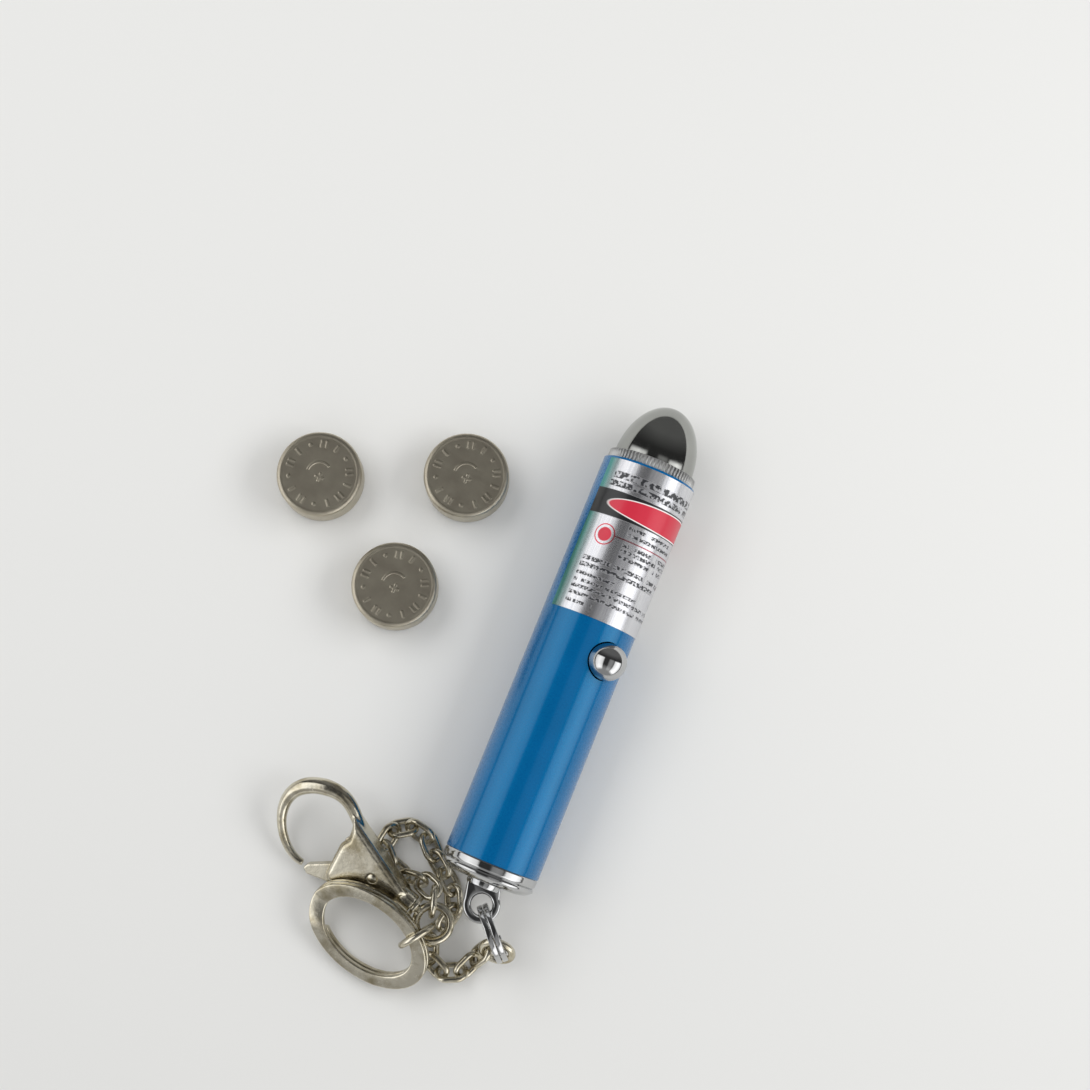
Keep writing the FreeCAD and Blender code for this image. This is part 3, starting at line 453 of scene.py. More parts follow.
def makeBarrel():
    # A tube with a round side hole. Near the hole the grid's square cells blend into rings round it
    r, length, edge = barrel["radius"], barrel["length"], barrel["edge"]
    inner = r - barrel["wall"]
    tilt = math.radians(barrel["holeTiltDeg"])
    cells, step = barrel["patchCells"], 2 * math.pi / barrel["segments"]
    halfY = cells * step * r
    angles = tilt + np.arange(-cells, barrel["segments"] - cells) * step
    low, high = barrel["holeY"] - halfY, barrel["holeY"] + halfY
    firstRow = barrel["rowsBelow"]
    rows = np.concatenate([np.linspace(edge, low, firstRow + 1)[:-1], np.linspace(low, high, 2 * cells + 1),
                           np.linspace(high, length - edge, barrel["rowsAbove"] + 1)[1:]])
    side = np.linspace(-1, 1, 2 * cells + 1)[:-1]
    one = np.ones_like(side)
    square = np.concatenate([np.stack(pair, axis=1) for pair in
                             ((side, -one), (one, side), (-side, one), (-one, -side))])
    turn = np.arctan2(square[:, 1], square[:, 0])
    outerAngle, outerY = square[:, 0] * cells * step, square[:, 1] * halfY
    holeY = barrel["holeRadius"] * np.sin(turn)
    sheets, holeLoops = [], []
    for radius in (r, inner):
        grid = onTube(radius, angles[None, :], rows[:, None])
        quads = gridQuads(len(rows), len(angles), closeColumns=True).reshape(len(rows) - 1, len(angles), 4)
        keep = np.ones(quads.shape[:2], bool)
        keep[firstRow:firstRow + 2 * cells, :2 * cells] = False
        sheets.append((grid.reshape(-1, 3), quads[keep]))
        holeAngle = np.arcsin(barrel["holeRadius"] * np.cos(turn) / radius)
        t = np.linspace(0, 1, barrel["patchRings"] + 1)[:, None]
        patch = onTube(radius, tilt + outerAngle * (1 - t) + holeAngle * t,
                       barrel["holeY"] + outerY * (1 - t) + holeY * t)
        sheets.append(sheetOf(patch, closeColumns=True))
        holeLoops.append(patch[-1])
    sheets.append(sheetOf(np.stack(holeLoops), closeColumns=True))
    t = np.linspace(0, math.pi / 2, 4)
    for end, inwards in ((0.0, 1.0), (length, -1.0)):
        inset, y = edge * np.cos(t), end + inwards * edge * (1 - np.sin(t))
        rim = [*zip(r - edge + inset, y), *zip((inner + edge - inset)[::-1], y[::-1])]
        sheets.append(sheetOf([onTube(radius, angles, at) for radius, at in rim], closeColumns=True))
    addPiece("barrelTube", sheets, finish["lacquer"], "barrel", ["barrel"], 40.0)


makeBarrel()
print("barrel made")


# The print is in mm of the flat label: u round the barrel from the left edge, v up from the tail-side edge
label = dict(
    radius=6.5, thickness=0.08, fromDeg=-57.0, wrapDeg=232.0, low=34.33, length=21.17, glueGap=0.005,
    uvUnit=10.0, edgeSoftness=0.045,
    tealCast=(0.5, 2.3),                                    # u between which it fades out
    band=(13.4, 16.95),                                     # v from and to
    ovalCentre=(12.9, 15.15, 0.0), oval=(10.15, 1.48, 1.0), ovalBorder=(10.35, 1.62, 1.0),
    spotCentre=(3.97, 10.9, 0.0), spot=0.95, ring=(1.30, 1.45),
    rule=(11.0, 11.14, 5.4, 23.0),                          # v from and to, u from and to
    # rows of dashes: middle, half height, u from and to
    boldRows=[(19.05, 0.48, 1.9, 16.5), (17.85, 0.40, 1.7, 18.0), (12.75, 0.24, 6.75, 14.2),
              (11.85, 0.24, 6.75, 15.0)],
    fineRows=[(10.35, 0.26, 6.75, 16.0), (9.6, 0.26, 6.75, 16.0), (8.75, 0.26, 6.75, 16.0),
              (7.25, 0.30, 2.1, 16.5), (6.3, 0.30, 2.1, 16.5), (5.1, 0.22, 2.1, 7.8), (4.15, 0.22, 2.1, 11.7),
              (3.3, 0.24, 2.1, 16.5), (2.35, 0.24, 2.1, 16.5), (1.25, 0.22, 2.1, 6.1)],
    boldWeight=0.05, fineWeight=0.03,
)


def printedFoil():
    # Printed metallised film: brushed silver with a teal cast on one edge, a black band that holds a red
    # bar, a red spot in a ring with a rule, and rows of plain dashes. The UV map is in units of 10 mm
    add, feed = newMaterial("printedMetallisedFilm", {"Coat Weight": 0.35, "Coat Roughness": 0.12})
    flat = add("VectorMath", add("UVMap", uv_map="wrap"), (label["uvUnit"],) * 3, operation="MULTIPLY")
    u, v = add("SeparateXYZ", flat, out=None).outputs[:2]
    soft = label["edgeSoftness"]

    def rises(value, edgeAt):
        return add("MapRange", value, edgeAt - soft, edgeAt + soft)

    def falls(value, edgeAt):
        return add("MapRange", value, edgeAt - soft, edgeAt + soft, 1.0, 0.0)

    def within(value, low, high):
        return product(add, rises(value, low), falls(value, high))

    def ovalShape(halves):  # 1 inside an ellipse: the squared length of the place divided by the half axes
        place = add("VectorMath", flat, label["ovalCentre"], operation="SUBTRACT")
        scaled = add("VectorMath", place, halves, operation="DIVIDE")
        square = add("VectorMath", scaled, scaled, operation="DOT_PRODUCT", out="Value")
        return add("MapRange", square, 0.96, 1.04, 1.0, 0.0)

    def dashRows(rows, weight):
        # Coarse noise breaks a row into words, fine noise breaks the words into strokes
        ink = 0.0
        for i, (middle, half, startU, endU) in enumerate(rows):
            place = add("CombineXYZ", u, 7.3 * i + 3.0 * middle)
            noise = add("TexNoise", inputs={"Vector": place, "Scale": 0.8, "Detail": 1.0, "Roughness": 0.5})
            words = add("MapRange", noise, 0.40 - weight, 0.43 - weight)
            noise = add("TexNoise", inputs={"Vector": flat, "Scale": 2.4 * 0.3 / half, "Detail": 1.0,
                                            "Roughness": 0.6})
            strokes = add("MapRange", noise, 0.44, 0.52, 0.15, 1.0)
            row = product(add, within(v, middle - half, middle + half), words, strokes,
                          within(u, startU, endU))
            ink = add("Math", ink, row, operation="MAXIMUM")
        return ink

    brushed = add("CombineXYZ", u, product(add, v, 0.02))
    streaks = add("TexNoise", inputs={"Vector": brushed, "Scale": 3.0, "Detail": 4.0, "Roughness": 0.7})
    teal = add("MapRange", u, *label["tealCast"], 1.0, 0.0)
    band = within(v, *label["band"])
    reach = add("VectorMath", flat, label["spotCentre"], operation="DISTANCE", out="Value")
    spot = falls(reach, label["spot"])
    ringFrom, ringTo = label["ring"]
    ring = product(add, falls(reach, ringTo), rises(reach, ringFrom))
    rule = product(add, within(v, *label["rule"][:2]), within(u, *label["rule"][2:]))
    ink = add("Math", dashRows(label["boldRows"], label["boldWeight"]),
              dashRows(label["fineRows"], label["fineWeight"]), operation="MAXIMUM")
    colour = linear("c9cad0")
    for share, paint in ((add("MapRange", streaks, 0.3, 0.7), "e4e4e6"), (teal, "4f9a96"), (band, "17191b"),
                         (product(add, band, ovalShape(label["ovalBorder"])), "f2f0ee"),
                         (product(add, band, ovalShape(label["oval"])), "c8243c"),
                         (spot, "c8243c"), (ring, "c8243c"), (rule, "9c2438"), (ink, "2b2c30")):
        colour = add("Mix", inputs={0: share, 6: colour, 7: linear(paint)}, out=2, data_type="RGBA")
    printed = add("Math", add("Math", band, spot, operation="ADD"), ink, operation="ADD")
    return feed({"Base Color": colour,
                 "Metallic": add("MapRange", printed, 0.0, 1.0, 0.92, 0.0),
                 "Roughness": add("MapRange", printed, 0.0, 1.0, 0.27, 0.38)})


def makeLabel():
    # Film wrapped on the barrel: outer and inner sheets and their four edges, with its own UV map
    r, t = label["radius"], label["thickness"]
    start = math.radians(label["fromDeg"])
    angles = start + np.radians(label["wrapDeg"]) * np.linspace(0, 1, 150)
    ys = label["low"] + label["length"] * np.linspace(0, 1, 40)
    outer, inner = (onTube(radius, angles[None, :], ys[:, None]) for radius in (r + t, r + label["glueGap"]))
    sheets = [sheetOf(outer), sheetOf(inner)]
    for edge in ((0,), (-1,), (slice(None), 0), (slice(None), -1)):
        sheets.append(sheetOf(np.stack([outer[edge], inner[edge]])))
    piece = addPiece("foilLabel", sheets, printedFoil(), "barrel", ["label"], 40.0)
    mesh = piece.data
    co = np.empty(len(mesh.vertices) * 3)
    mesh.vertices.foreach_get("co", co)
    co = (co.reshape(-1, 3) - base) / mm
    turn = np.arctan2(co[:, 0], co[:, 2] - axisHeight)
    turn = np.where(turn < start - 0.2, turn + 2 * math.pi, turn)
    wrap = np.stack([(turn - start) * (r + t), co[:, 1] - label["low"]], axis=1) / label["uvUnit"]
    loops = np.empty(len(mesh.loops), np.int32)
    mesh.loops.foreach_get("vertex_index", loops)
    layer = mesh.uv_layers.new(name="wrap")
    layer.data.foreach_set("uv", wrap[loops].astype(np.float32).ravel())


makeLabel()
print("label made")


head = dict(knurlRadius=6.12, knurlDepth=0.2, knurlCount=72, knurlPoints=8, knurlLength=1.35,
            chamfer=0.12, chamferStart=(0.04, 0.55),        # along, share of the knurl's depth
            noseRadius=5.53, noseLong=8.25, noseHidden=0.07, wall=0.65, apertureRadius=1.0, lip=0.12,
            windowRadius=1.75, windowSetBack=1.7, windowThickness=0.8, windowClearance=0.05, seatWall=0.5,
            stubLength=4.5, stubRadius=5.93, stubChamfer=0.2)


def makeHead():
    y0 = barrel["length"]
    noseY = y0 + head["knurlLength"] - head["noseHidden"]
    stub = head["noseRadius"] * math.sqrt(1 - (head["noseHidden"] / head["noseLong"]) ** 2)

    # knurled ring: radius = crest - depth * raised cosine of the angle, with chamfered ends
    angle = fullTurn(head["knurlCount"] * head["knurlPoints"])
    wave = (0.5 - 0.5 * np.cos(angle * head["knurlCount"])) ** 0.8
    c, length = head["chamfer"], head["knurlLength"]
    cornerY, cornerDepth = head["chamferStart"]
    ends = np.array([(0.0, 1.0), (cornerY, cornerDepth), (c, 0.0), (length - c, 0.0),
                     (length - cornerY, cornerDepth), (length, 1.0)])
    radius = head["knurlRadius"] - head["knurlDepth"] * np.maximum(wave[None, :], ends[:, 1, None])
    y = y0 + ends[:, 0, None]
    ring = np.concatenate([onTube(radius, angle, y), onTube(stub, angle, y[::-1])])
    addPiece("knurledRing", [sheetOf(ring, closeRows=True, closeColumns=True)], finish["satin"], "nose",
             ["knurled_ring"], 50.0)

    # nose: half an ellipse turned about the axis, with its inner wall, window seat and threaded stub
    aperture, stubRadius, chamfer = head["apertureRadius"], head["stubRadius"], head["stubChamfer"]
    t = np.linspace(math.asin(aperture / head["noseRadius"]) + 0.01,
                    math.acos(head["noseHidden"] / head["noseLong"]), 64)
    outer = np.stack([head["noseRadius"] * np.sin(t), noseY + head["noseLong"] * np.cos(t)], axis=1)
    innerR = head["noseRadius"] - head["wall"]
    innerLong = head["noseLong"] - head["windowSetBack"] - head["windowThickness"] - head["seatWall"]
    windowY = noseY + head["noseLong"] - head["windowSetBack"]
    seat = head["windowRadius"] + head["windowClearance"]
    s = np.linspace(math.pi / 2, math.asin(seat / innerR), 24)
    inner = np.stack([innerR * np.sin(s), noseY + innerLong * np.cos(s)], axis=1)
    stubY = y0 - head["stubLength"]
    tipY = outer[0, 1]
    profile = np.concatenate([
        outer, [(stub, y0), (stubRadius, y0), (stubRadius, stubY + chamfer), (stubRadius - chamfer, stubY),
                (innerR, stubY)],
        inner, [(seat, windowY), (aperture, windowY), (aperture, tipY - head["lip"]),
                (aperture + 0.02, tipY - 0.03)]])
    addPiece("noseShell", [turnedSheet(profile, 160)], finish["darkChrome"], "nose", ["nose_shell"], 32.0)


makeHead()
print("head made")


tail = dict(
    # cap: the two beads as arcs of (radius, y) through three points, with the steps of each
    length=2.6, flat=1.6,
    beads=[((5.0, -2.6), (5.8, -2.3), (6.4, -1.82), 12), ((6.4, -1.82), (6.37, -1.47), (6.2, -1.27), 8),
           ((6.2, -1.27), (6.4, -1.05), (6.47, -0.65), 8), ((6.47, -0.65), (6.49, -0.32), (6.43, -0.02), 8)],
    shoulder=6.37, threadRadius=5.93, threadLength=4.5, threadWall=0.9, endWall=0.9,
    # lug
    pinRadius=0.95, pinClearance=0.03, headRadius=1.8, headThickness=0.5, headRound=(0.3, 0.15),
    neckWidth=4.6, eyeRadius=2.5, thickness=1.6, edge=0.36, holeRadius=1.4, holeX=0.8, holeY=-5.6,
    foot=0.9, footRound=[(0.0, 0.25), (0.1, 0.07), (0.3, 0.0)])


def makeTail():
    face = -tail["length"]
    bore = tail["pinRadius"] + tail["pinClearance"]
    thread, threadEnd, wall = tail["threadRadius"], tail["threadLength"], tail["endWall"]
    innerR = thread - tail["threadWall"]
    profile = np.concatenate([
        [(bore, face), (bore + tail["flat"], face), tail["beads"][0][0]],
        *(arcThrough(*bead) for bead in tail["beads"]),
        [(tail["shoulder"], 0.0), (thread, 0.0), (thread, threadEnd), (innerR, threadEnd), (innerR, wall),
         (bore, wall)]])
    addPiece("tailCap", [turnedSheet(profile, 192)], finish["chrome"], "tail_cap", ["tail_cap"], 38.0)

    # lug: from the hole's edge to an outline that is the eye's circle or the neck, whichever reaches further
    angle = fullTurn(144)
    c, s = np.cos(angle), np.sin(angle)
    half, reach, eyeRadius = tail["neckWidth"] / 2, face - tail["holeY"], tail["eyeRadius"]
    rightGap = (half - tail["holeX"] - eyeRadius) / reach
    leftGap = (eyeRadius - half - tail["holeX"]) / reach
    with np.errstate(divide="ignore", invalid="ignore"):
        top = np.where(s > 1e-6, reach / s, np.inf)
        right = np.where(c - rightGap * s > 1e-6, eyeRadius / (c - rightGap * s), np.inf)
        left = np.where(-c + leftGap * s > 1e-6, eyeRadius / (-c + leftGap * s), np.inf)
    neck = np.where(s > 0, np.minimum(top, np.minimum(right, left)), 0.0)
    outline = np.maximum(eyeRadius, neck)
    q = np.linspace(0, math.pi / 2, 6)
    inset, height = tail["edge"] * (1 - np.sin(q)), tail["thickness"] / 2 - tail["edge"] * (1 - np.cos(q))
    upper = [(tail["holeRadius"] + cut, z) for cut, z in zip(inset[::-1], height[::-1])]
    upper += [(outline - cut, z) for cut, z in zip(inset, height)]
    rows = upper + [(radius, -z) for radius, z in upper[::-1]]
    eye = [np.stack([tail["holeX"] + radius * c, tail["holeY"] + radius * s, axisHeight + z + 0 * c], axis=-1)
           for radius, z in rows]
    footFace = face - tail["foot"]
    footEdge = [(half - cut, footFace + up) for cut, up in tail["footRound"]]
    foot = turnedSheet([(0, face), (half, face), *footEdge, (0, footFace)], 96, closed=False)
    headRadius, headY = tail["headRadius"], wall + tail["headThickness"]
    roundIn, roundDown = tail["headRound"]
    pin = turnedSheet([(0, face - 0.1), (tail["pinRadius"], face - 0.1), (tail["pinRadius"], wall),
                       (headRadius, wall), (headRadius, headY - roundDown), (headRadius - roundIn, headY),
                       (0, headY)], 64, closed=False)
    addPiece("tailLug", [sheetOf(eye, closeRows=True, closeColumns=True), foot, pin], finish["chrome"],
             "tail_lug", ["tail_lug"], 38.0)


makeTail()
print("tail made")


button = dict(y=29.8, tiltDeg=37.0, radius=2.5, centre=7.0, flangeRadius=3.1, flangeTop=4.75, flange=0.6)


def makeButton():  # A dome on a stem with a flange below, turned about the tilted axis of the hole
    tilt = math.radians(button["tiltDeg"])
    t = np.linspace(0, math.pi / 2, 40)
    r, flangeR, top = button["radius"], button["flangeRadius"], button["flangeTop"]
    dome = np.stack([r * np.sin(t), button["centre"] + r * np.cos(t)], axis=1)
    low = top - button["flange"]
    profile = np.concatenate([dome, [(r, top), (flangeR, top), (flangeR, low), (0, low)]])
    sheet = turnedSheet(profile, 128, (0.0, button["y"], axisHeight), (math.sin(tilt), 0.0, math.cos(tilt)),
                        closed=False)
    addPiece("pushButton", [sheet], finish["chrome"], "push_button", ["push_button"], 35.0)


makeButton()
print("button made")


def principalFrame(name):  # Centre and axes of a symmetric node, longest axis first
    mesh = nodes[name].data
    co = np.empty(len(mesh.vertices) * 3, np.float32)
    mesh.vertices.foreach_get("co", co)
    points = np.unique(np.round((co.reshape(-1, 3).astype(float) - base) / mm, 4), axis=0)
    middle = points.mean(axis=0)
    values, vectors = np.linalg.eigh(np.cov((points - middle).T))
    axes = vectors[:, np.argsort(-values)].T
    along = (points - middle) @ axes.T
    centre = middle + ((along.max(axis=0) + along.min(axis=0)) / 2) @ axes
    axes[2] = np.cross(axes[0], axes[1])
    return centre, axes


chain = dict(wire=0.84, endRadius=1.25, straight=1.3, nearLinks=5, jumpRadius=2.05, jumpWire=1.0,
             keyLinkRadius=2.4, keyLinkWire=0.9)


def linkSheet(centre, axes):
    # A link: a round wire carried along a stadium of two half circles and two straights
    half, r, wire = chain["straight"] / 2, chain["endRadius"], chain["wire"] / 2
    bend = np.linspace(-math.pi / 2, math.pi / 2, 17)
    straight = np.linspace(0, 1, 5)[1:-1]
    rightEnd = np.stack([half + r * np.cos(bend), r * np.sin(bend)], axis=1)
    topRun = np.stack([half - 2 * half * straight, r + 0 * straight], axis=1)
    outline = np.concatenate([rightEnd, topRun, -rightEnd, -topRun])
    way = np.roll(outline, -1, axis=0) - np.roll(outline, 1, axis=0)
    way /= np.linalg.norm(way, axis=1, keepdims=True)
    path = centre + outline @ axes[:2]
    across = np.stack([way[:, 1], -way[:, 0]], axis=1) @ axes[:2]
    up = np.repeat(axes[2][None], len(path), axis=0)
    return carried(path, across, up, circleSection(wire, 16), closed=True)


def ringSheet(centre, axes, middleRadius, wire, count=96):
    # A round wire bent into a ring: the torus about a centre, in the plane of the first two axes
    angle = fullTurn(count)[:, None]
    out = np.cos(angle) * axes[0] + np.sin(angle) * axes[1]
    up = np.repeat(axes[2][None], count, axis=0)
    return carried(centre + out * middleRadius, out, up, circleSection(wire / 2, 20), closed=True)


def makeChain():
    names = sorted(n for n in nodes if n.startswith("chain_link_"))
    for i, name in enumerate(names):
        body = "chain_near" if i < chain["nearLinks"] else "chain_far"
        addPiece("link%02d" % (i + 1), linkSheet(*principalFrame(name)), finish["nickel"], body, [name], 60.0)
    for newName, name, size, body in (("jumpRing", "jump_ring", "jump", "chain_near"),
                                      ("keyRingLink", "key_ring_link", "keyLink", "key_ring")):
        sheets = ringSheet(*principalFrame(name), chain[size + "Radius"], chain[size + "Wire"])
        addPiece(newName, sheets, finish["nickel"], body, [name], 60.0)


makeChain()
print("chain made")


smallRing = dict(outer=4.0, width=0.9, layer=0.72, slit=0.08, stepDeg=24.0, turnDeg=100.0, squeeze=1.0,
                 headingDeg=-47.0, offset=0.45, round=0.18)
keyRing = dict(outer=9.05, width=2.2, layer=0.75, slit=0.1, stepDeg=24.0, turnDeg=200.0, squeeze=0.70,
               x=-11.6, y=-15.0, headingDeg=-15.4, tiltDeg=31.0, clear=0.02, round=0.22)


def splitRingSheets(ring, centre, longWay, shortWay):
    # Two flat turns of one wire. Height = smooth step between the lower and the upper turn over the ramp
    normal = np.cross(longWay, shortWay)
    gap = ring["stepDeg"]
    level = (ring["layer"] + ring["slit"]) / 2
    degrees = np.linspace(gap, 720 - gap, 340)
    t = np.clip((degrees - (360 - gap)) / (2 * gap), 0, 1)
    height = level * (2 * t * t * (3 - 2 * t) - 1)
    turn = np.radians(degrees + ring["turnDeg"])[:, None]
    w, h = ring["width"] / 2, ring["layer"] / 2
    section = roundedCorners([(-w, -h), (w, -h), (w, h), (-w, h)], ring["round"])
    out = np.cos(turn) * longWay + ring["squeeze"] * np.sin(turn) * shortWay
    path = centre + out * (ring["outer"] - w) + height[:, None] * normal
    return carried(path, out, np.repeat(normal[None], len(path), axis=0), section)


def makeRings():
    # the small ring stands upright: its flat normal points sideways
    a = math.radians(smallRing["headingDeg"])
    out = np.array([math.cos(a), math.sin(a), 0.0])
    hole = np.array([tail["holeX"], tail["holeY"], axisHeight])
    centre = hole + out * (smallRing["offset"] + smallRing["outer"] - smallRing["width"] / 2)
    shortWay = np.cross((-out[1], out[0], 0.0), out)
    addPiece("smallSplitRing", splitRingSheets(smallRing, centre, out, shortWay), finish["chrome"],
             "small_split_ring", ["small_split_ring"], 40.0)

    a, tilt = math.radians(keyRing["headingDeg"]), math.radians(keyRing["tiltDeg"])
    longWay = np.array([math.cos(a), math.sin(a), 0.0])
    shortWay = np.array([-math.sin(a) * math.cos(tilt), math.cos(a) * math.cos(tilt), math.sin(tilt)])
    halfT = keyRing["layer"] + keyRing["slit"] / 2
    z = keyRing["outer"] * keyRing["squeeze"] * math.sin(tilt) + halfT * math.cos(tilt) + keyRing["clear"]
    centre = np.array([keyRing["x"], keyRing["y"], z])
    addPiece("keyRing", splitRingSheets(keyRing, centre, longWay, shortWay), finish["nickel"], "key_ring",
             ["key_ring"], 40.0)


makeRings()
print("split rings made")


clasp = dict(
    x=-8.5, y=-8.95, z=4.38, headingDeg=-18.9, rollDeg=26.0, thickness=3.4,
    voxel=0.16, smoothing=6, gateVoxel=0.1, gateSmoothing=4,
    rivetU=-5.4, rivetV=-0.15, rivetRadius=0.62, rivetHead=0.12, shankRadius=0.55,
    # swivel, along its post from the clasp's neck
    neckBack=0.9, gap=0.1, collar=0.55, collarRadius=1.6, collarClearance=0.06, collarRound=0.2,
    eyeRadius=2.3, eyeWire=1.1, postRadius=0.65,
    postHead=(1.0, -0.34, 0.26),      # radius, from, to
    postFlare=(0.12, 0.35, 0.05),     # how much wider, and from and to before the eye's middle line
)


def castCopy(name, newName, voxel, rounds, body):
    # A casting's soft edges: the node's own shape remeshed on a fine grid and smoothed a little
    mesh = nodes[name].data.copy()
    bm = bmesh.new()
    bm.from_mesh(mesh)
    bmesh.ops.remove_doubles(bm, verts=bm.verts, dist=1e-6)
    bm.to_mesh(mesh)
    bm.free()
    piece = bpy.data.objects.new(newName, mesh)
    bpy.context.scene.collection.objects.link(piece)
    remesh = piece.modifiers.new("grid", "REMESH")
    remesh.mode = "VOXEL"
    remesh.voxel_size = voxel * mm
    smooth = piece.modifiers.new("soften", "SMOOTH")
    smooth.factor = 0.5
    smooth.iterations = rounds
    bpy.context.view_layer.update()
    shaped = bpy.data.meshes.new_from_object(piece.evaluated_get(bpy.context.evaluated_depsgraph_get()))
    piece.modifiers.clear()
    piece.data = shaped
    shaped.name = newName
    shaped.shade_smooth()
    shaped.materials.clear()
    shaped.materials.append(finish["nickel"])
    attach(piece, body)
    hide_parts(name)


def makeClasp():
    castCopy("clasp_body", "claspBody", clasp["voxel"], clasp["smoothing"], "clasp")
    castCopy("clasp_gate", "claspGate", clasp["gateVoxel"], clasp["gateSmoothing"], "clasp_gate")
    a, roll = math.radians(clasp["headingDeg"]), math.radians(clasp["rollDeg"])
    forward = np.array([math.cos(a), math.sin(a), 0.0])
    sideways = np.array([-math.sin(a), math.cos(a), 0.0])
    up = np.array([0.0, 0.0, 1.0])
    v = sideways * math.cos(roll) + up * math.sin(roll)
    origin = np.array([clasp["x"], clasp["y"], clasp["z"]])
    rivet = origin + forward * clasp["rivetU"] + v * clasp["rivetV"]
    r, rise, half = clasp["rivetRadius"], clasp["rivetHead"], clasp["thickness"] / 2
    upper = [(clasp["shankRadius"], half), (r, half), (r, half + rise * 0.3), (r * 0.7, half + rise),
             (0, half + rise)]
    profile = [(radius, -along) for radius, along in upper[::-1]] + upper
    addPiece("claspRivet", [turnedSheet(profile, 48, rivet, np.cross(forward, v), closed=False)],
             finish["nickel"], "clasp", ["clasp_rivet"], 35.0)

    # swivel: eye, post and head, and the loose collar
    eyeRadius, postRadius = clasp["eyeRadius"], clasp["postRadius"]
    collarFrom = clasp["neckBack"] + clasp["gap"]
    collarTo = collarFrom + clasp["collar"]
    eyeAt = collarTo + clasp["gap"] + eyeRadius + clasp["eyeWire"] / 2
    postEnd = eyeAt - eyeRadius
    eye = ringSheet(origin + forward * eyeAt, np.stack([forward, sideways, up]), eyeRadius, clasp["eyeWire"])
    headRadius, headFrom, headTo = clasp["postHead"]
    wider, flareFrom, flareTo = clasp["postFlare"]
    post = turnedSheet([(0, headFrom), (headRadius, headFrom), (headRadius, headTo), (postRadius, headTo),
                        (postRadius, postEnd - flareFrom), (postRadius + wider, postEnd - flareTo),
                        (0, postEnd)], 48, origin, forward, closed=False)
    addPiece("swivelEye", eye + [post], finish["nickel"], "swivel_eye", ["swivel_eye"], 40.0)
    r, bore = clasp["collarRadius"], postRadius + clasp["collarClearance"]
    ring = roundedCorners([(bore, collarFrom), (r, collarFrom), (r, collarTo), (bore, collarTo)],
                          clasp["collarRound"])
    addPiece("swivelCollar", [turnedSheet(ring, 64, origin, forward)], finish["nickel"], "swivel_eye",
             ["swivel_collar"], 40.0)


makeClasp()
print("clasp made")


cell = dict(
    radius=5.8, height=5.4, turnDeg=12.0, can=0.25, shoulder=0.62, rimRound=0.5,
    faceEdge=0.75, faceDip=0.05,      # where the flat face ends, and how far it lies below the top
    markDepth=0.08,                   # marks are pressed only into what lies within this of the top
    lipHeight=0.3, wallRise=0.8, inside=0.35, gasketGap=(0.02, 0.01),
    capRadius=4.75, capStep=0.25, capRise=0.5, capRound=0.3, gasket=0.3,
    # pressed marks: how high, softness of their edges, radius of the rim's marks, how many
    emboss=0.055, markSoftness=0.07, markRadius=4.15, marks=14,
    bar=(0.16, 0.52), dot=0.24,       # half width and half length, radius
    strokes=(0.34, 0.13, 0.5),        # from the middle, half width, half length
    arc=(1.65, 0.15, 2.2, 1.2),       # radius, half width, middle and half of its angle
    plus=(0.2, -0.4, 0.15, 0.62),     # x, y, half width, half length
)


def embossHeight(x, y):  # Raised marks from 0 to 1: a rim of short bars and dots, an arc and a plus sign
    radius, turn = np.hypot(x, y), np.arctan2(y, x)

    def near(distance, half):
        return np.clip((half - np.abs(distance)) / cell["markSoftness"] + 0.5, 0, 1)

    slot = turn / (2 * math.pi) * cell["marks"]
    kind = np.floor(slot + 0.5).astype(int) % cell["marks"] % 3
    off = (slot - np.floor(slot + 0.5)) * 2 * math.pi / cell["marks"] * radius
    outwards = radius - cell["markRadius"]
    bars = near(off, cell["bar"][0]) * near(outwards, cell["bar"][1])
    dots = near(np.hypot(off, outwards), cell["dot"])
    apart, width, length = cell["strokes"]
    strokes = near(np.abs(off) - apart, width) * near(outwards, length)
    marks = np.where(kind == 0, bars, np.where(kind == 1, strokes, dots))
    arcRadius, width, middle, half = cell["arc"]
    arc = near(radius - arcRadius, width) * (np.abs(turn - middle) < half)
    plusX, plusY, width, length = cell["plus"]
    plus = np.maximum(near(x - plusX, width) * near(y - plusY, length),
                      near(y - plusY, width) * near(x - plusX, length))
    return np.maximum(marks, np.maximum(arc, plus))


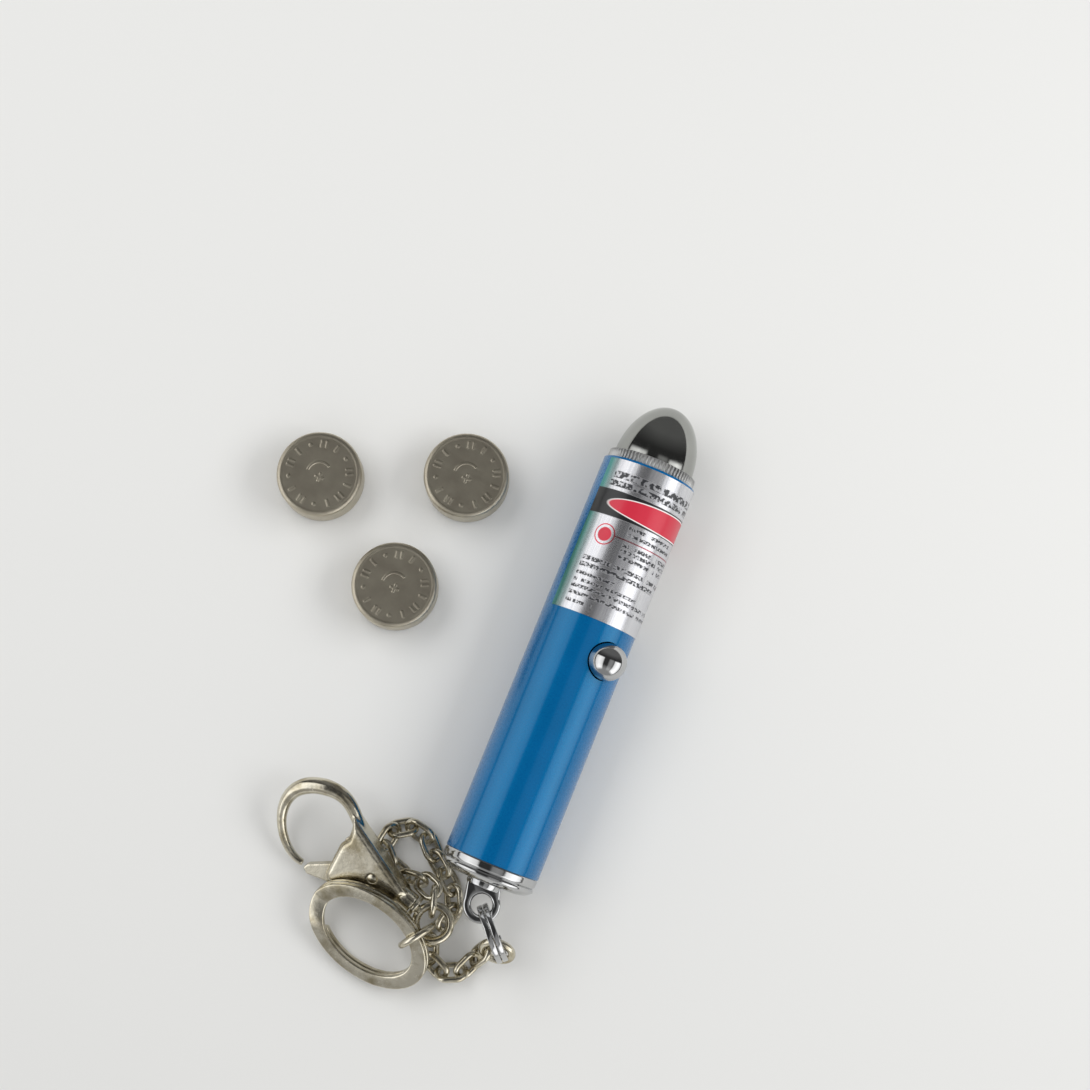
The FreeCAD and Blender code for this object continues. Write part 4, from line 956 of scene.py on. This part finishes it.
def makeCell(number):
    low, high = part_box("cell_%d_can" % number)
    centre = (np.array([(low.x + high.x) / 2, (low.y + high.y) / 2, 0.0]) - base) / mm
    centre[2] = -base[2] / mm
    r, top, foot, lipHeight = cell["radius"], cell["height"], cell["capStep"], cell["lipHeight"]

    def spun(profile, angle, emboss=0.0):
        radius, height = np.transpose(profile)[:, :, None]
        x, y = radius * np.cos(angle), radius * np.sin(angle)
        z = height + emboss * embossHeight(x, y) * (height > top - cell["markDepth"])
        return np.stack([centre[0] + x, centre[1] + y, centre[2] + z], axis=-1)

    # can: a flat face up, a rolled shoulder, a straight wall, and a rim crimped over the gasket
    face = np.stack([np.linspace(0, r - cell["faceEdge"], 70), np.full(70, top - cell["faceDip"])], axis=1)
    t = np.linspace(0, math.pi / 2, 12)
    bend, rimRound, innerR = cell["shoulder"], cell["rimRound"], r - cell["can"]
    shoulder = np.stack([r - bend + bend * np.sin(t), top - bend + bend * np.cos(t)], axis=1)
    rim = np.stack([r - rimRound + rimRound * np.cos(t), foot + rimRound - rimRound * np.sin(t)], axis=1)
    c = cell["capRadius"]
    lip = c + cell["gasket"]
    ceiling = top - cell["inside"]
    profile = np.concatenate([face, shoulder, rim, [(lip, foot), (lip, foot + lipHeight),
                                                    (innerR, foot + cell["wallRise"]), (innerR, ceiling),
                                                    (0, ceiling)]])
    can = spun(profile, fullTurn(240) + math.radians(cell["turnDeg"]), cell["emboss"])
    body = "cell_%d" % number
    addPiece("cell%dCan" % number, [sheetOf(can, closeColumns=True)], finish["cell"], body,
             ["cell_%d_can" % number], 35.0)
    gapIn, gapOut = cell["gasketGap"]
    inner, outer, below, above = c + gapIn, lip - gapOut, foot - gapIn, foot + lipHeight
    gasket = spun([(inner, below), (outer, below), (outer, above), (inner, above)], fullTurn(120))
    addPiece("cell%dGasket" % number, [sheetOf(gasket, closeRows=True, closeColumns=True)], finish["nylon"],
             body, ["cell_%d_gasket" % number], 35.0)
    capRound, capTop = cell["capRound"], foot + cell["capRise"]
    edge = np.stack([c - capRound + capRound * np.cos(t), capRound - capRound * np.sin(t)], axis=1)
    cap = spun(np.concatenate([[(0, capTop), (c, capTop)], edge, [(0, 0)]]), fullTurn(160))
    addPiece("cell%dCap" % number, [sheetOf(cap, closeColumns=True)], finish["cell"], body,
             ["cell_%d_cap" % number], 35.0)


for cellNumber in (1, 2, 3):
    makeCell(cellNumber)
print("cells made")
